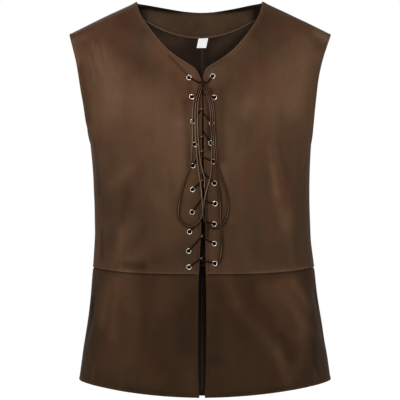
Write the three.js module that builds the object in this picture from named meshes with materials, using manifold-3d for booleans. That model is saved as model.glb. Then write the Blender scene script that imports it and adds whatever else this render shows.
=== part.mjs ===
// A sleeveless laced jerkin in imitation suede, in the hollow shape that it has when worn.
// Millimetres, +Z up, the front faces -Y. The origin is midway between the two points where
// the shoulder seams meet the neckline. Left and right are the wearer's: the left side is +X.
import * as THREE from 'three';
import { mergeVertices } from 'three/addons/utils/BufferGeometryUtils.js';
import Module from 'manifold-3d';

const wasm = await Module();
wasm.setup();

// ---------------------------------------------------------------- driving dimensions

const CLOTH = 1.5; // thickness of the outer cloth
const FACING_CLOTH = 1.2;
const LABEL_CLOTH = 1;
const SEAM = 0.3; // clear width of every seam
const LAYER_GAP = 0.8; // between cloth that lies on cloth

// Level sections of the worn garment, from the hem up. Heights are taken at the side, at the
// front centre and at the back centre, because hem, waist seam and shoulders are not level.
// half: half width; chest, spine: depth in front of and behind the shoulder line; sway: how
// far the whole section stands to the wearer's left; opening: middle of the front opening;
// gap: half its width; bend: how late a row turns to its side height; square: squareness.
const SECTIONS = [
  { name: 'hem', side: -684, front: -706, back: -727, half: 227.5, chest: 121, spine: 126,
    sway: 5, opening: 0, gap: 4.9, bend: 1.9, square: 2.2 },
  { name: 'lower skirt', side: -632, front: -652, back: -664, half: 220.5, chest: 119, spine: 122,
    sway: 4.7, opening: 0, gap: 7.2, bend: 2.2, square: 2.2 },
  { name: 'middle skirt', side: -577, front: -593, back: -599, half: 212, chest: 115, spine: 116,
    sway: 4.8, opening: 0.4, gap: 7.3, bend: 2.7, square: 2.2 },
  { name: 'upper skirt', side: -525, front: -537, back: -538, half: 204.7, chest: 111, spine: 109,
    sway: 3.7, opening: 0.5, gap: 7.2, bend: 3.2, square: 2.2 },
  { name: 'waist seam', side: -480, front: -490, back: -489, half: 200.2, chest: 108, spine: 103,
    sway: 2.7, opening: 0.6, gap: 6.3, bend: 3.5, square: 2.2 },
  { name: 'waist', side: -430, front: -438, back: -437, half: 195.4, chest: 107, spine: 100,
    sway: 1.4, opening: 1.5, gap: 4.6, bend: 3.2, square: 2.2 },
  { name: 'ribs', side: -385, front: -391, back: -390, half: 195.3, chest: 109, spine: 100,
    sway: 0.5, opening: 2.3, gap: 3.4, bend: 3, square: 2.2 },
  { name: 'lower chest', side: -320, front: -322, back: -321, half: 196.2, chest: 113, spine: 105,
    sway: -0.9, opening: 1.6, gap: 1.9, bend: 2.6, square: 2.2 },
  { name: 'underarm', side: -255, front: -248, back: -246, half: 200.5, chest: 117, spine: 113,
    sway: -2.6, opening: 1.3, gap: 1.8, bend: 2.1, square: 2.2 },
  { name: 'armhole middle', side: -156.5, front: -120, back: -118, half: 211.4, chest: 113, spine: 116,
    sway: -5.4, opening: 1.2, gap: 1.8, bend: 1.5, square: 2.1 },
  { name: 'upper armhole', side: -108, front: -35.3, back: -34.3, half: 220.7, chest: 109, spine: 112,
    sway: -4.8, opening: -1.2, gap: 1.8, bend: 1.27, square: 2.05 },
  { name: 'shoulder line', side: -58, front: 54, back: 54, half: 237.2, chest: 104, spine: 108,
    sway: -3.3, opening: -4.5, gap: 1.8, bend: 1.03, square: 2 },
];
const HEM = -684;
const WAIST_SEAM = -480;
const UNDERARM = -255;
const ARMHOLE_MIDDLE = -156.5;
const SHOULDER_TIP = -58;
const ARMHOLE_REACH = 62; // half the width of an armhole, front to back

// The front neckline: its middle and half its width, down to the top of the opening.
const NECKLINE = [
  { height: -149, middle: 1.2, half: 1.8 },
  { height: -136, middle: -1.6, half: 5 },
  { height: -125, middle: -2.7, half: 12 },
  { height: -108, middle: -2.5, half: 38.5 },
  { height: -91, middle: -2.7, half: 60 },
  { height: -55, middle: -2.8, half: 89.3 },
  { height: -24, middle: -4, half: 107.4 },
  { height: 0, middle: -4.5, half: 114 },
];
const OPENING_TOP = -149;
const NECK_HALF = 114;
const BACK_NECK_DIP = 10;

// The largest soft folds, as ridges (rise above 0) and hollows (below 0) along a line on the
// cloth. top, low: heights of its two ends; topRound, lowRound: how far round from the front
// centre each end lies; width: how far the fold spreads. side: 1 is the wearer's left.
const FOLDS = [
  { side: -1, top: -500, topRound: 128, low: -640, lowRound: 150, rise: 2.4, width: 22 },
  { side: -1, top: -515, topRound: 205, low: -600, lowRound: 222, rise: -2.6, width: 16 },
  { side: -1, top: -285, topRound: 62, low: -375, lowRound: 150, rise: -2, width: 17 },
  { side: -1, top: -395, topRound: 135, low: -450, lowRound: 120, rise: 2, width: 20 },
  { side: 1, top: -500, topRound: 150, low: -650, lowRound: 172, rise: 2.4, width: 22 },
  { side: 1, top: -530, topRound: 222, low: -610, lowRound: 236, rise: -2.6, width: 16 },
  { side: 1, top: -505, topRound: 60, low: -670, lowRound: 118, rise: 1.6, width: 15 },
  { side: 1, top: -270, topRound: 118, low: -400, lowRound: 142, rise: 1.8, width: 18 },
  { side: -1, top: -510, topRound: 350, low: -690, lowRound: 335, rise: 2.6, width: 24 },
  { side: -1, top: -520, topRound: 425, low: -700, lowRound: 435, rise: -2.4, width: 22 },
  { side: 1, top: -505, topRound: 330, low: -680, lowRound: 322, rise: 2.6, width: 24 },
  { side: 1, top: -525, topRound: 410, low: -705, lowRound: 424, rise: -2.2, width: 20 },
  { side: -1, top: -300, topRound: 330, low: -440, lowRound: 400, rise: -2, width: 22 },
  { side: 1, top: -330, topRound: 320, low: -450, lowRound: 385, rise: -1.8, width: 20 },
];
const ROUND_PER_DEGREE = 2.9; // distance round the body for each degree of a section

const FACING = { reach: 113.2, top: 1, middleLow: -55, endRise: 37, below: 0.2, columns: 18, rows: 4 };
const LABEL = { middle: 1, top: -55.8, width: 18, length: 20, lean: -4 };

// cloth: where the rims start, above and below the middle of the cloth; crown: radius at which
// a rolled rim is thickest; frontRoll, backRoll: how far it stands there; lip: at the bore.
const EYELET = {
  bore: 2.5, barrel: 3, clothHole: 3.35, frontRim: 5, backRim: 4.4, crown: 3.6,
  cloth: 1.1, frontRoll: 1.9, backRoll: 1.7, frontLip: 1.6, backLip: 1.5, punchDepth: 8,
};
// Eyelets from the top down, and the height at which the lace from each dives into the opening.
const EYELETS = [
  { left: 18.5, leftHeight: -140.5, right: -23, rightHeight: -143 },
  { left: 21.5, leftHeight: -178, right: -18, rightHeight: -177, leftDive: -172, rightDive: -167 },
  { left: 16.5, leftHeight: -223, right: -16, rightHeight: -220, leftDive: -206, rightDive: -197 },
  { left: 15.5, leftHeight: -258.5, right: -12.5, rightHeight: -260.5, leftDive: -238, rightDive: -246 },
  { left: 19.5, leftHeight: -291, right: -16, rightHeight: -298, leftDive: -283, rightDive: -271 },
  { left: 21.5, leftHeight: -329, right: -16.5, rightHeight: -340, leftDive: -310, rightDive: -323 },
  { left: 23, leftHeight: -365, right: -17.5, rightHeight: -380, leftDive: -359.5, rightDive: -354.5 },
  { left: 21.5, leftHeight: -401, right: -22, rightHeight: -414.5, leftDive: -395, rightDive: -390 },
  { left: 21.5, leftHeight: -435.5, right: -23.5, rightHeight: -448.5, leftDive: -426, rightDive: -421 },
  { left: 22.5, leftHeight: -470.5, right: -23, rightHeight: -477, leftDive: -465, rightDive: -460 },
];
const EYELET_SIDES = 8;
const BOTTOM_BAR = { height: -474, lift: -2.6 }; // the lace behind the two lowest eyelets

// A free cord has a ring of corners at each step, up to a most of them.
const LACE = { radius: 1.25, sides: 8, step: 7.6, mostSteps: 80 };
// Lifts of the lace's middle above the cloth, and distances from the eyelet, on its way through.
const THREADING = {
  behind: -3.1, behindReach: 6, backTurn: -3.6, turnReach: 2, insideEyelet: 1.6,
  frontTurn: 3.7, front: 3.05, frontReach: 6.4,
};
// The four places of the lace as it dives through the opening: across, down and lift.
const DIVE = [
  { across: -1.3, down: 0.6, lift: 2.5 },
  { across: 0.2, down: 0.2, lift: 1 },
  { across: -0.2, down: -0.2, lift: -1 },
  { across: 1.3, down: -0.6, lift: -2.5 },
];
const KNOT = { x: 1.8, height: -155, lift: 7, halfWidth: 7, halfHeight: 5.5, halfDepth: 4.2 };
const KNOT_ENTRY = { across: 8.2, up: 3.4, lift: 6.2 }; // where the lace ends beside the knot

// Routes of the free cords: across, height and lift of the cord's middle above the cloth.
const LOOP_RIGHT = [
  [-5.5, -158.5, 7], [-9, -167, 6.7], [-12.4, -178, 6.6], [-15.2, -192, 6.6], [-16.3, -209, 6.6],
  [-16.5, -228, 6.6], [-16.4, -245, 6.2], [-17, -264, 6.2], [-18, -284, 6.4], [-20.5, -300, 6],
  [-26.5, -316, 4.4], [-33.5, -338, 2.8], [-38.5, -359, 2.6], [-41, -376, 2.6], [-40.3, -388, 2.6],
  [-35.5, -397.5, 2.6], [-26.5, -404.5, 3.2], [-17.5, -405.5, 4.8], [-9, -400.5, 5.9],
  [-2, -391, 5.9], [2, -378, 5.9], [4.2, -359, 5.9], [9, -338, 5.9], [15, -317, 6], [16.6, -301, 6.5],
  [17, -285, 6.6], [17, -271, 6.4], [16.5, -250, 6.6], [15.4, -225, 6.7], [14.5, -203, 6.5],
  [12.8, -191, 6.5], [9.2, -178, 6.5], [6, -168, 6.7], [3.9, -162, 7],
];
const LOOP_LEFT = [
  [-3.2, -160.8, 7.2], [-5.6, -168, 6.9], [-9, -179, 6.6], [-11.2, -193, 6.4], [-11.9, -209, 6.4],
  [-11.7, -232, 6.4], [-10.8, -248, 6.6], [-9.8, -264, 6.7], [-8.2, -288, 6], [-4.6, -315, 5.9],
  [-1.4, -338, 6.8], [-0.4, -352, 8.4], [1, -366, 8.9], [1.8, -380, 8.9], [2.8, -390, 7.2],
  [6.2, -397.5, 5.9], [11.3, -403.5, 4.6], [18.3, -407.2, 3.6], [28.5, -406.6, 2.8],
  [34.8, -403, 2.6], [40.3, -396.6, 2.6], [44, -388, 2.6], [46, -378, 2.6], [46.4, -366, 2.6],
  [42.6, -343, 2.6], [37, -326, 3], [31.6, -311, 4.2], [28, -299, 5.4], [25.8, -285, 6.2],
  [24.6, -271, 6.3], [23.3, -250, 6.5], [22, -226, 6.6], [21, -205, 6.4], [19.8, -192, 6.4],
  [16.2, -178, 6.6], [12.6, -167, 6.9], [9.1, -158.5, 7],
];
const TAIL_RIGHT = [
  [-0.3, -162, 7.2], [-2.4, -169, 6.9], [-5.4, -180, 6.4], [-7.2, -194, 6.2], [-7.9, -212, 6.2],
  [-7.8, -224, 6.1], [-7.4, -236, 6], [-6.6, -249, 6], [-5.4, -264, 5.9], [-3.4, -285, 5.8],
  [-1.2, -298, 5.8], [1.2, -308, 5.8], [3.6, -317, 5.8], [4.6, -328, 5.8], [4.4, -338, 5.6],
];
const TAIL_LEFT = [
  [6.8, -160.8, 7.2], [9.3, -168, 6.9], [12.6, -179, 6.6], [16.4, -193, 6.5], [17.9, -206, 6.5],
  [18.7, -225, 6.7], [20, -250, 6.5], [20.9, -268, 6.4], [22, -283, 6.6], [23.4, -298, 6.2],
  [26, -315, 5], [28.8, -334, 3.2], [31.4, -355, 2.6], [32.4, -378, 2.8], [32.8, -392, 4.3],
  [33.4, -403, 5.7], [34.2, -414, 4.4], [34.8, -425, 2.9], [35, -437, 2.6], [34.2, -449, 2.6],
  [32.4, -461, 2.6], [29.4, -469.5, 2.6],
];

// ---------------------------------------------------------------- the form of the garment

// The value of a column at a height, on a smooth curve through the rows of a table.
function valueAt(table, key, column, height) {
  const last = table.length - 1;
  let i = 0;
  while (i < last - 1 && table[i + 1][key] < height) i += 1;
  const slope = (k) => {
    const before = table[Math.max(k - 1, 0)];
    const after = table[Math.min(k + 1, last)];
    return (after[column] - before[column]) / (after[key] - before[key]);
  };
  const low = table[i];
  const high = table[i + 1];
  const span = high[key] - low[key];
  const t = (height - low[key]) / span;
  const rise = t * t * (3 - 2 * t);
  const startPull = t * (1 - t) * (1 - t) * span * slope(i);
  const endPull = t * t * (1 - t) * span * slope(i + 1);
  return THREE.MathUtils.lerp(low[column], high[column], rise) + startPull - endPull;
}

// A level is a height at the side up to the middle of the armhole. Above that, each further
// unit is a degree of the arch that carries the cloth over the shoulder.
function rowAt(level) {
  const lean = Math.max(level - ARMHOLE_MIDDLE, 0);
  const climb = Math.sin(THREE.MathUtils.degToRad(lean));
  const side = Math.min(level, ARMHOLE_MIDDLE) + (SHOULDER_TIP - ARMHOLE_MIDDLE) * climb;
  const row = { side, arch: Math.cos(THREE.MathUtils.degToRad(lean)) };
  for (const column of Object.keys(SECTIONS[0]).slice(2)) {
    row[column] = valueAt(SECTIONS, 'side', column, side);
  }
  const below = Math.min((level - ARMHOLE_MIDDLE) / (UNDERARM - ARMHOLE_MIDDLE), 1);
  row.arm = ARMHOLE_REACH * Math.sqrt(1 - Math.max(below, 0) ** 2);
  return row;
}

const SHOULDER_LEVEL = ARMHOLE_MIDDLE + 90;

// Distance from the middle of the opening to the edge of a row, positive on both sides.
function spanOf(row, side) {
  return row.half + side * (row.sway - row.opening);
}

function depthOf(row, face) {
  return face === 'front' ? row.chest : row.spine;
}

// The angle at which a row reaches the side seam, or the armhole that is cut out of it.
function edgeAngle(row, face) {
  return THREE.MathUtils.radToDeg(Math.acos((row.arm / depthOf(row, face)) ** (row.square / 2)));
}

// How far across a point at an angle lies, as a share of the way to the edge of its row.
function shareAt(row, face, angle) {
  const sine = (degrees) => Math.sin(THREE.MathUtils.degToRad(degrees)) ** (2 / row.square);
  return sine(angle) / sine(edgeAngle(row, face));
}

// The angle of the point that lies a given share of the way to the edge.
function angleAt(row, face, share) {
  const edge = Math.sin(THREE.MathUtils.degToRad(edgeAngle(row, face)));
  const sine = Math.min(share ** (row.square / 2) * edge, 1);
  return THREE.MathUtils.radToDeg(Math.asin(sine));
}

function heightOn(row, face, share) {
  const centre = face === 'front' ? row.front : row.back;
  return centre + (row.side - centre) * share ** row.bend;
}

// How far round from the front centre, in distance over the cloth.
function roundAt(face, angle) {
  return ROUND_PER_DEGREE * (face === 'front' ? angle : 180 - angle);
}

function foldRise(side, around, height) {
  let rise = 0;
  for (const fold of FOLDS.filter((one) => one.side === side)) {
    const lineRound = fold.lowRound - fold.topRound;
    const lineDrop = fold.low - fold.top;
    const along = ((around - fold.topRound) * lineRound + (height - fold.top) * lineDrop)
      / (lineRound ** 2 + lineDrop ** 2);
    const nearest = THREE.MathUtils.clamp(along, 0, 1);
    const off = Math.hypot(
      around - fold.topRound - nearest * lineRound,
      height - fold.top - nearest * lineDrop,
    );
    rise += fold.rise * Math.exp(-((off / fold.width) ** 2));
  }
  return rise;
}

// A point on the smooth middle of the cloth. angle runs from 0 at the centre to 90 at the side.
// Past either end it goes on round the body, and past the shoulder line down the other face.
function smoothPoint(face, side, level, angle) {
  const other = face === 'front' ? 'back' : 'front';
  if (angle < 0) return smoothPoint(face, -side, level, -angle);
  if (angle > 90) return smoothPoint(other, side, level, 180 - angle);
  if (level > SHOULDER_LEVEL) return smoothPoint(other, side, 2 * SHOULDER_LEVEL - level, angle);
  const row = rowAt(level);
  const share = shareAt(row, face, angle);
  const reach = Math.cos(THREE.MathUtils.degToRad(angle)) ** (2 / row.square);
  const y = depthOf(row, face) * reach * row.arch;
  return new THREE.Vector3(
    row.opening + side * spanOf(row, side) * share,
    face === 'front' ? -y : y,
    heightOn(row, face, share),
  );
}

const PROBE = 0.6; // step of the difference that gives a normal, in degrees or millimetres

// The point on the cloth with its folds, and the outward normal there.
function clothPoint(face, side, level, angle) {
  const round = smoothPoint(face, side, level, angle + PROBE);
  round.sub(smoothPoint(face, side, level, angle - PROBE));
  const up = smoothPoint(face, side, level + PROBE, angle);
  up.sub(smoothPoint(face, side, level - PROBE, angle));
  const normal = round.cross(up).normalize();
  if (side * (face === 'front' ? 1 : -1) < 0) normal.negate();
  const point = smoothPoint(face, side, level, angle);
  point.addScaledVector(normal, foldRise(side, roundAt(face, angle), point.z));
  return { point, normal };
}

// Halves a range until it holds only the place where test turns from negative to positive.
function turningPoint(low, high, test) {
  let a = low;
  let b = high;
  for (let i = 0; i < 40; i += 1) {
    const middle = (a + b) / 2;
    if (test(middle) < 0) a = middle;
    else b = middle;
  }
  return (a + b) / 2;
}

// The cloth seen from the front or the back at a given place across and up, moved out by lift.
function clothAt(face, x, height, lift) {
  const side = x > valueAt(SECTIONS, face, 'opening', height) ? 1 : -1;
  const shareIn = (row) => Math.min(Math.abs(x - row.opening) / spanOf(row, side), 1);
  const level = turningPoint(HEM, SHOULDER_LEVEL, (guess) => {
    const row = rowAt(guess);
    return heightOn(row, face, shareIn(row)) - height;
  });
  const row = rowAt(level);
  const { point, normal } = clothPoint(face, side, level, angleAt(row, face, shareIn(row)));
  return { point: point.addScaledVector(normal, lift), normal };
}

// ---------------------------------------------------------------- cloth panels

// A closed wall: the points moved out and in by half its thickness, and a rim all round.
function wallGeometry(rows, thickness) {
  const columns = rows[0].length;
  const cells = rows.length * columns;
  const positions = [];
  for (const half of [thickness / 2, -thickness / 2]) {
    for (const row of rows) {
      for (const { point, normal } of row) {
        positions.push(...point.clone().addScaledVector(normal, half).toArray());
      }
    }
  }
  const index = [];
  const quad = (a, b, c, d) => index.push(a, b, c, a, c, d);
  for (let j = 0; j < rows.length - 1; j += 1) {
    for (let i = 0; i < columns - 1; i += 1) {
      const k = j * columns + i;
      quad(k, k + 1, k + columns + 1, k + columns);
      quad(cells + k, cells + k + columns, cells + k + columns + 1, cells + k + 1);
    }
  }
  const loop = [];
  for (let i = 0; i < columns - 1; i += 1) loop.push(i);
  for (let j = 0; j < rows.length - 1; j += 1) loop.push(j * columns + columns - 1);
  for (let i = columns - 1; i > 0; i -= 1) loop.push((rows.length - 1) * columns + i);
  for (let j = rows.length - 1; j > 0; j -= 1) loop.push(j * columns);
  loop.forEach((a, k) => {
    const b = loop[(k + 1) % loop.length];
    quad(a, a + cells, b + cells, b);
  });
  return facingOut(closedGeometry(positions, index));
}

function closedGeometry(positions, index) {
  const geometry = new THREE.BufferGeometry();
  geometry.setAttribute('position', new THREE.Float32BufferAttribute(positions, 3));
  geometry.setIndex(index);
  return geometry;
}

// Turns a closed mesh right side out where it is inside out.
function facingOut(geometry) {
  const at = (i) => new THREE.Vector3().fromBufferAttribute(geometry.attributes.position, i);
  const { array } = geometry.index;
  let volume = 0;
  for (let i = 0; i < array.length; i += 3) {
    volume += at(array[i]).dot(at(array[i + 1]).cross(at(array[i + 2])));
  }
  if (volume < 0) {
    for (let i = 0; i < array.length; i += 3) [array[i], array[i + 1]] = [array[i + 1], array[i]];
  }
  return geometry;
}

// How high the back neckline lies at a share of the way from its middle to its end.
function backNeckHeight(share) {
  const square = share * share;
  return BACK_NECK_DIP * (square * (square < 1 ? 1.9 - 0.9 * square : 1) - 1);
}

// The angle at which a row starts: at the front edge, the neckline or the centre-back seam.
function startAngle(face, side, row) {
  const span = spanOf(row, side);
  let start = SEAM / 2 / span;
  if (face === 'front') {
    start = row.gap / span;
    if (row.front > OPENING_TOP) {
      start = turningPoint(0, 1, (share) => {
        const height = Math.min(heightOn(row, face, share), 0);
        const shift = valueAt(NECKLINE, 'height', 'middle', height) - row.opening;
        return share * span - side * shift - valueAt(NECKLINE, 'height', 'half', height);
      });
    }
  } else if (row.back > -BACK_NECK_DIP) {
    start = turningPoint(0, 1, (share) => {
      return backNeckHeight((share * span) / NECK_HALF) - heightOn(row, face, share);
    });
  }
  return angleAt(row, face, start);
}

// The angle at which a row ends: half a seam short of the side seam, or at the armhole.
function endAngle(face, row) {
  const short = Math.max(row.arm, SEAM / 2) / depthOf(row, face);
  return THREE.MathUtils.radToDeg(Math.acos(short ** (row.square / 2)));
}

function panelRows(face, side, levels, columns) {
  return levels.map((level) => {
    const row = rowAt(level);
    const start = startAngle(face, side, row);
    const end = endAngle(face, row);
    const cells = [];
    for (let i = 0; i <= columns; i += 1) {
      const way = (i / columns) ** COLUMN_EASE;
      cells.push(clothPoint(face, side, level, THREE.MathUtils.lerp(start, end, way)));
    }
    return cells;
  });
}

function levelWhere(column, height) {
  return turningPoint(HEM, SHOULDER_LEVEL, (level) => rowAt(level)[column] - height);
}

// The level of the row that meets the back neckline at a distance from its middle.
function backNeckLevel(x) {
  const height = backNeckHeight(x / NECK_HALF);
  return turningPoint(ARMHOLE_MIDDLE, SHOULDER_LEVEL, (level) => {
    const row = rowAt(level);
    return heightOn(row, 'back', x / spanOf(row, 1)) - height;
  });
}

const ARCH_LEANS = [8, 16, 24, 32]; // rows between the armhole middle and the back neck
const NECK_STOPS = [0, 18, 36, 53, 68, 81, 92, 101, 107.5, 112]; // across the back neckline
const SHOULDER_GAP = 0.12; // half the shoulder seam, in levels
const BODICE_LEVELS = [
  WAIST_SEAM + SEAM / 2, -450, -420, -385, -350, -315, -285, -268, UNDERARM, -252, -246, -236,
  -222, -206, levelWhere('front', OPENING_TOP), levelWhere('front', -142),
  levelWhere('front', -135), levelWhere('front', -127), ARMHOLE_MIDDLE,
  ...ARCH_LEANS.map((lean) => ARMHOLE_MIDDLE + lean),
  ...NECK_STOPS.map(backNeckLevel),
  SHOULDER_LEVEL - SHOULDER_GAP,
];
const SKIRT_LEVELS = [HEM, -655, -622, -588, -552, -516, WAIST_SEAM - SEAM / 2];
const COLUMNS = { front: 12, back: 9 };
const COLUMN_EASE = 1.3; // columns stand closer together towards the centre

// ---------------------------------------------------------------- cutting

function solidOf(geometry) {
  const bare = geometry.clone();
  bare.deleteAttribute('normal');
  bare.deleteAttribute('uv');
  const merged = mergeVertices(bare, 1e-4);
  return new wasm.Manifold(new wasm.Mesh({
    numProp: 3,
    vertProperties: new Float32Array(merged.attributes.position.array),
    triVerts: new Uint32Array(merged.index.array),
  }));
}

function geometryOf(solid) {
  const { vertProperties, triVerts } = solid.getMesh();
  return closedGeometry(Array.from(vertProperties), Array.from(triVerts));
}

function uprightOn(normal) {
  return new THREE.Quaternion().setFromUnitVectors(new THREE.Vector3(0, 1, 0), normal);
}

function punched(geometry, side) {
  let solid = solidOf(geometry);
  for (const eyelet of EYELETS) {
    const { x, height } = eyeletPlace(eyelet, side);
    const { point, normal } = clothAt('front', x, height, 0);
    const { clothHole, punchDepth } = EYELET;
    const punch = new THREE.CylinderGeometry(clothHole, clothHole, punchDepth, EYELET_SIDES);
    punch.applyQuaternion(uprightOn(normal)).translate(point.x, point.y, point.z);
    solid = solid.subtract(solidOf(punch));
  }
  return geometryOf(solid);
}

// ---------------------------------------------------------------- eyelets and lace

function eyeletPlace(eyelet, side) {
  if (side > 0) return { x: eyelet.left, height: eyelet.leftHeight, dive: eyelet.leftDive };
  return { x: eyelet.right, height: eyelet.rightHeight, dive: eyelet.rightDive };
}

// One turned ring: a barrel through the cloth with a rolled rim on each face.
function eyeletGeometry() {
  const profile = [
    [EYELET.bore, -EYELET.backLip],
    [EYELET.crown, -EYELET.backRoll],
    [EYELET.backRim, -EYELET.cloth],
    [EYELET.barrel, -EYELET.cloth],
    [EYELET.barrel, EYELET.cloth],
    [EYELET.frontRim, EYELET.cloth],
    [EYELET.crown, EYELET.frontRoll],
    [EYELET.bore, EYELET.frontLip],
    [EYELET.bore, -EYELET.backLip],
  ];
  return new THREE.LatheGeometry(profile.map(([r, h]) => new THREE.Vector2(r, h)), EYELET_SIDES);
}

// A tube through stations joined by mitred bends, with flat ends.
function mitredTube(stations, radius, sides) {
  const positions = [];
  const index = [];
  let spread = new THREE.Vector3(1, 0, 0);
  stations.forEach((station, k) => {
    const before = stations[Math.max(k - 1, 0)];
    const after = stations[Math.min(k + 1, stations.length - 1)];
    const arrive = station.clone().sub(before).normalize();
    const leave = after.clone().sub(station).normalize();
    const along = arrive.add(leave).normalize();
    spread = spread.addScaledVector(along, -spread.dot(along)).normalize();
    const other = along.clone().cross(spread);
    for (let i = 0; i < sides; i += 1) {
      const turn = (2 * Math.PI * i) / sides;
      const corner = station.clone();
      corner.addScaledVector(spread, radius * Math.cos(turn));
      corner.addScaledVector(other, radius * Math.sin(turn));
      positions.push(...corner.toArray());
    }
  });
  for (let k = 0; k < stations.length - 1; k += 1) {
    for (let i = 0; i < sides; i += 1) {
      const a = k * sides + i;
      const b = k * sides + ((i + 1) % sides);
      index.push(a, b, b + sides, a, b + sides, a + sides);
    }
  }
  const end = (stations.length - 1) * sides;
  for (let i = 1; i < sides - 1; i += 1) {
    index.push(0, i + 1, i);
    index.push(end, end + i, end + i + 1);
  }
  return facingOut(closedGeometry(positions, index));
}

// Places, from behind to in front, that the lace takes through an eyelet. from and to are the
// places it comes from and goes to; each place is across, height and lift.
function throughEyelet(x, height, from, to) {
  const towards = (place, distance, lift) => {
    const run = Math.hypot(place[0] - x, place[1] - height);
    const share = distance / run;
    return [x + (place[0] - x) * share, height + (place[1] - height) * share, lift];
  };
  return [
    towards(from, THREADING.behindReach, THREADING.behind),
    towards(from, THREADING.turnReach, THREADING.backTurn),
    [x, height, -THREADING.insideEyelet],
    [x, height, THREADING.insideEyelet],
    towards(to, THREADING.turnReach, THREADING.frontTurn),
    towards(to, THREADING.frontReach, THREADING.front),
  ];
}

// Places that the lace takes where it dives through the opening, travelling towards side.
function throughOpening(height, side) {
  const middle = valueAt(SECTIONS, 'front', 'opening', height);
  return DIVE.map(({ across, down, lift }) => [middle + side * across, height - down, lift]);
}

// One half of the lace: from the middle of the bottom bar, up through every row, to the knot.
function laceStations(firstSide) {
  const middle = valueAt(SECTIONS, 'side', 'opening', WAIST_SEAM);
  const bar = [middle + (firstSide * SEAM) / 2, BOTTOM_BAR.height, BOTTOM_BAR.lift];
  const knotSide = EYELETS.length % 2 ? firstSide : -firstSide;
  const beside = KNOT.x + knotSide * KNOT_ENTRY.across;
  const end = [beside, KNOT.height + KNOT_ENTRY.up, KNOT_ENTRY.lift];
  const places = [bar];
  let side = firstSide;
  let from = bar;
  for (const eyelet of [...EYELETS].reverse()) {
    const { x, height, dive } = eyeletPlace(eyelet, side);
    if (dive === undefined) {
      places.push(...throughEyelet(x, height, from, end), end);
    } else {
      const opening = throughOpening(dive, -side);
      places.push(...throughEyelet(x, height, from, opening[0]), ...opening);
      from = opening[3];
      side = -side;
    }
  }
  return places.map(([x, height, lift]) => clothAt('front', x, height, lift).point);
}

// A free cord: a plain tube on one smooth curve through the places of its route.
function cordGeometry(route) {
  const places = route.map(([x, height, lift]) => clothAt('front', x, height, lift).point);
  const path = new THREE.CatmullRomCurve3(places);
  const section = new THREE.Shape();
  for (let i = 0; i < LACE.sides; i += 1) {
    const turn = (2 * Math.PI * i) / LACE.sides;
    const corner = [LACE.radius * Math.cos(turn), LACE.radius * Math.sin(turn)];
    if (i === 0) section.moveTo(...corner);
    else section.lineTo(...corner);
  }
  section.closePath();
  const steps = Math.min(Math.round(path.getLength() / LACE.step), LACE.mostSteps);
  return new THREE.ExtrudeGeometry(section, { steps, extrudePath: path, bevelEnabled: false });
}

// ---------------------------------------------------------------- facing and label

function facingRows() {
  const rows = [];
  const neckMiddle = valueAt(SECTIONS, 'side', 'opening', SHOULDER_TIP);
  const inward = -(CLOTH / 2 + LAYER_GAP + FACING_CLOTH / 2);
  for (let j = 0; j <= FACING.rows; j += 1) {
    const row = [];
    for (let i = 0; i <= FACING.columns; i += 1) {
      const u = (2 * i) / FACING.columns - 1;
      const x = neckMiddle + u * FACING.reach;
      const top = backNeckHeight(u) - FACING.top * (1 - u * u);
      const low = FACING.middleLow + FACING.endRise * u * u;
      const sweep = 1 - Math.cos((j / FACING.rows) * (Math.PI / 2));
      const share = THREE.MathUtils.lerp(j / FACING.rows, sweep, u * u);
      const height = THREE.MathUtils.lerp(top, low, share) - FACING.below;
      row.push(clothAt('back', x, height, inward));
    }
    rows.push(row);
  }
  return rows;
}

function labelRows() {
  const rows = [];
  const inward = -(CLOTH / 2 + LAYER_GAP + LABEL_CLOTH / 2);
  for (let j = 0; j <= 2; j += 1) {
    const drop = j / 2;
    const row = [];
    for (let i = 0; i <= 2; i += 1) {
      const x = LABEL.middle + LABEL.width * (i / 2 - 0.5) + LABEL.lean * (drop - 0.5);
      row.push(clothAt('back', x, LABEL.top - LABEL.length * drop, inward - drop));
    }
    rows.push(row);
  }
  return rows;
}

// ---------------------------------------------------------------- the object

const suede = { color: 0x4f3a2b, roughness: 0.88, metalness: 0 };
const skirtSuede = { color: 0x3c2c20, roughness: 0.9, metalness: 0 };
const facingCloth = { color: 0x43342a, roughness: 0.85, metalness: 0 };
const labelCloth = { color: 0xe9e6e0, roughness: 0.7, metalness: 0 };
const nickel = { color: 0xb9b3aa, roughness: 0.3, metalness: 1 };
const cordFibre = { color: 0x4a382c, roughness: 0.75, metalness: 0 };

function named(name, geometry, finish) {
  const mesh = new THREE.Mesh(geometry, new THREE.MeshStandardMaterial(finish));
  mesh.name = name;
  return mesh;
}

const jerkin = new THREE.Group();

for (const [hand, side] of [['left', 1], ['right', -1]]) {
  for (const face of ['front', 'back']) {
    const bodice = wallGeometry(panelRows(face, side, BODICE_LEVELS, COLUMNS[face]), CLOTH);
    const skirt = wallGeometry(panelRows(face, side, SKIRT_LEVELS, COLUMNS[face]), CLOTH);
    jerkin.add(named(`${face}_${hand}`, face === 'front' ? punched(bodice, side) : bodice, suede));
    jerkin.add(named(`skirt_${face}_${hand}`, skirt, skirtSuede));
  }
  EYELETS.forEach((eyelet, k) => {
    const { x, height } = eyeletPlace(eyelet, side);
    const { point, normal } = clothAt('front', x, height, 0);
    const ring = named(`eyelet_${hand}_${String(k + 1).padStart(2, '0')}`, eyeletGeometry(), nickel);
    ring.position.copy(point);
    ring.quaternion.copy(uprightOn(normal));
    jerkin.add(ring);
  });
  const lace = mitredTube(laceStations(side), LACE.radius, LACE.sides);
  jerkin.add(named(`lace_${hand}`, lace, cordFibre));
}

jerkin.add(named('neck_facing', wallGeometry(facingRows(), FACING_CLOTH), facingCloth));
jerkin.add(named('neck_label', wallGeometry(labelRows(), LABEL_CLOTH), labelCloth));

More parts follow.
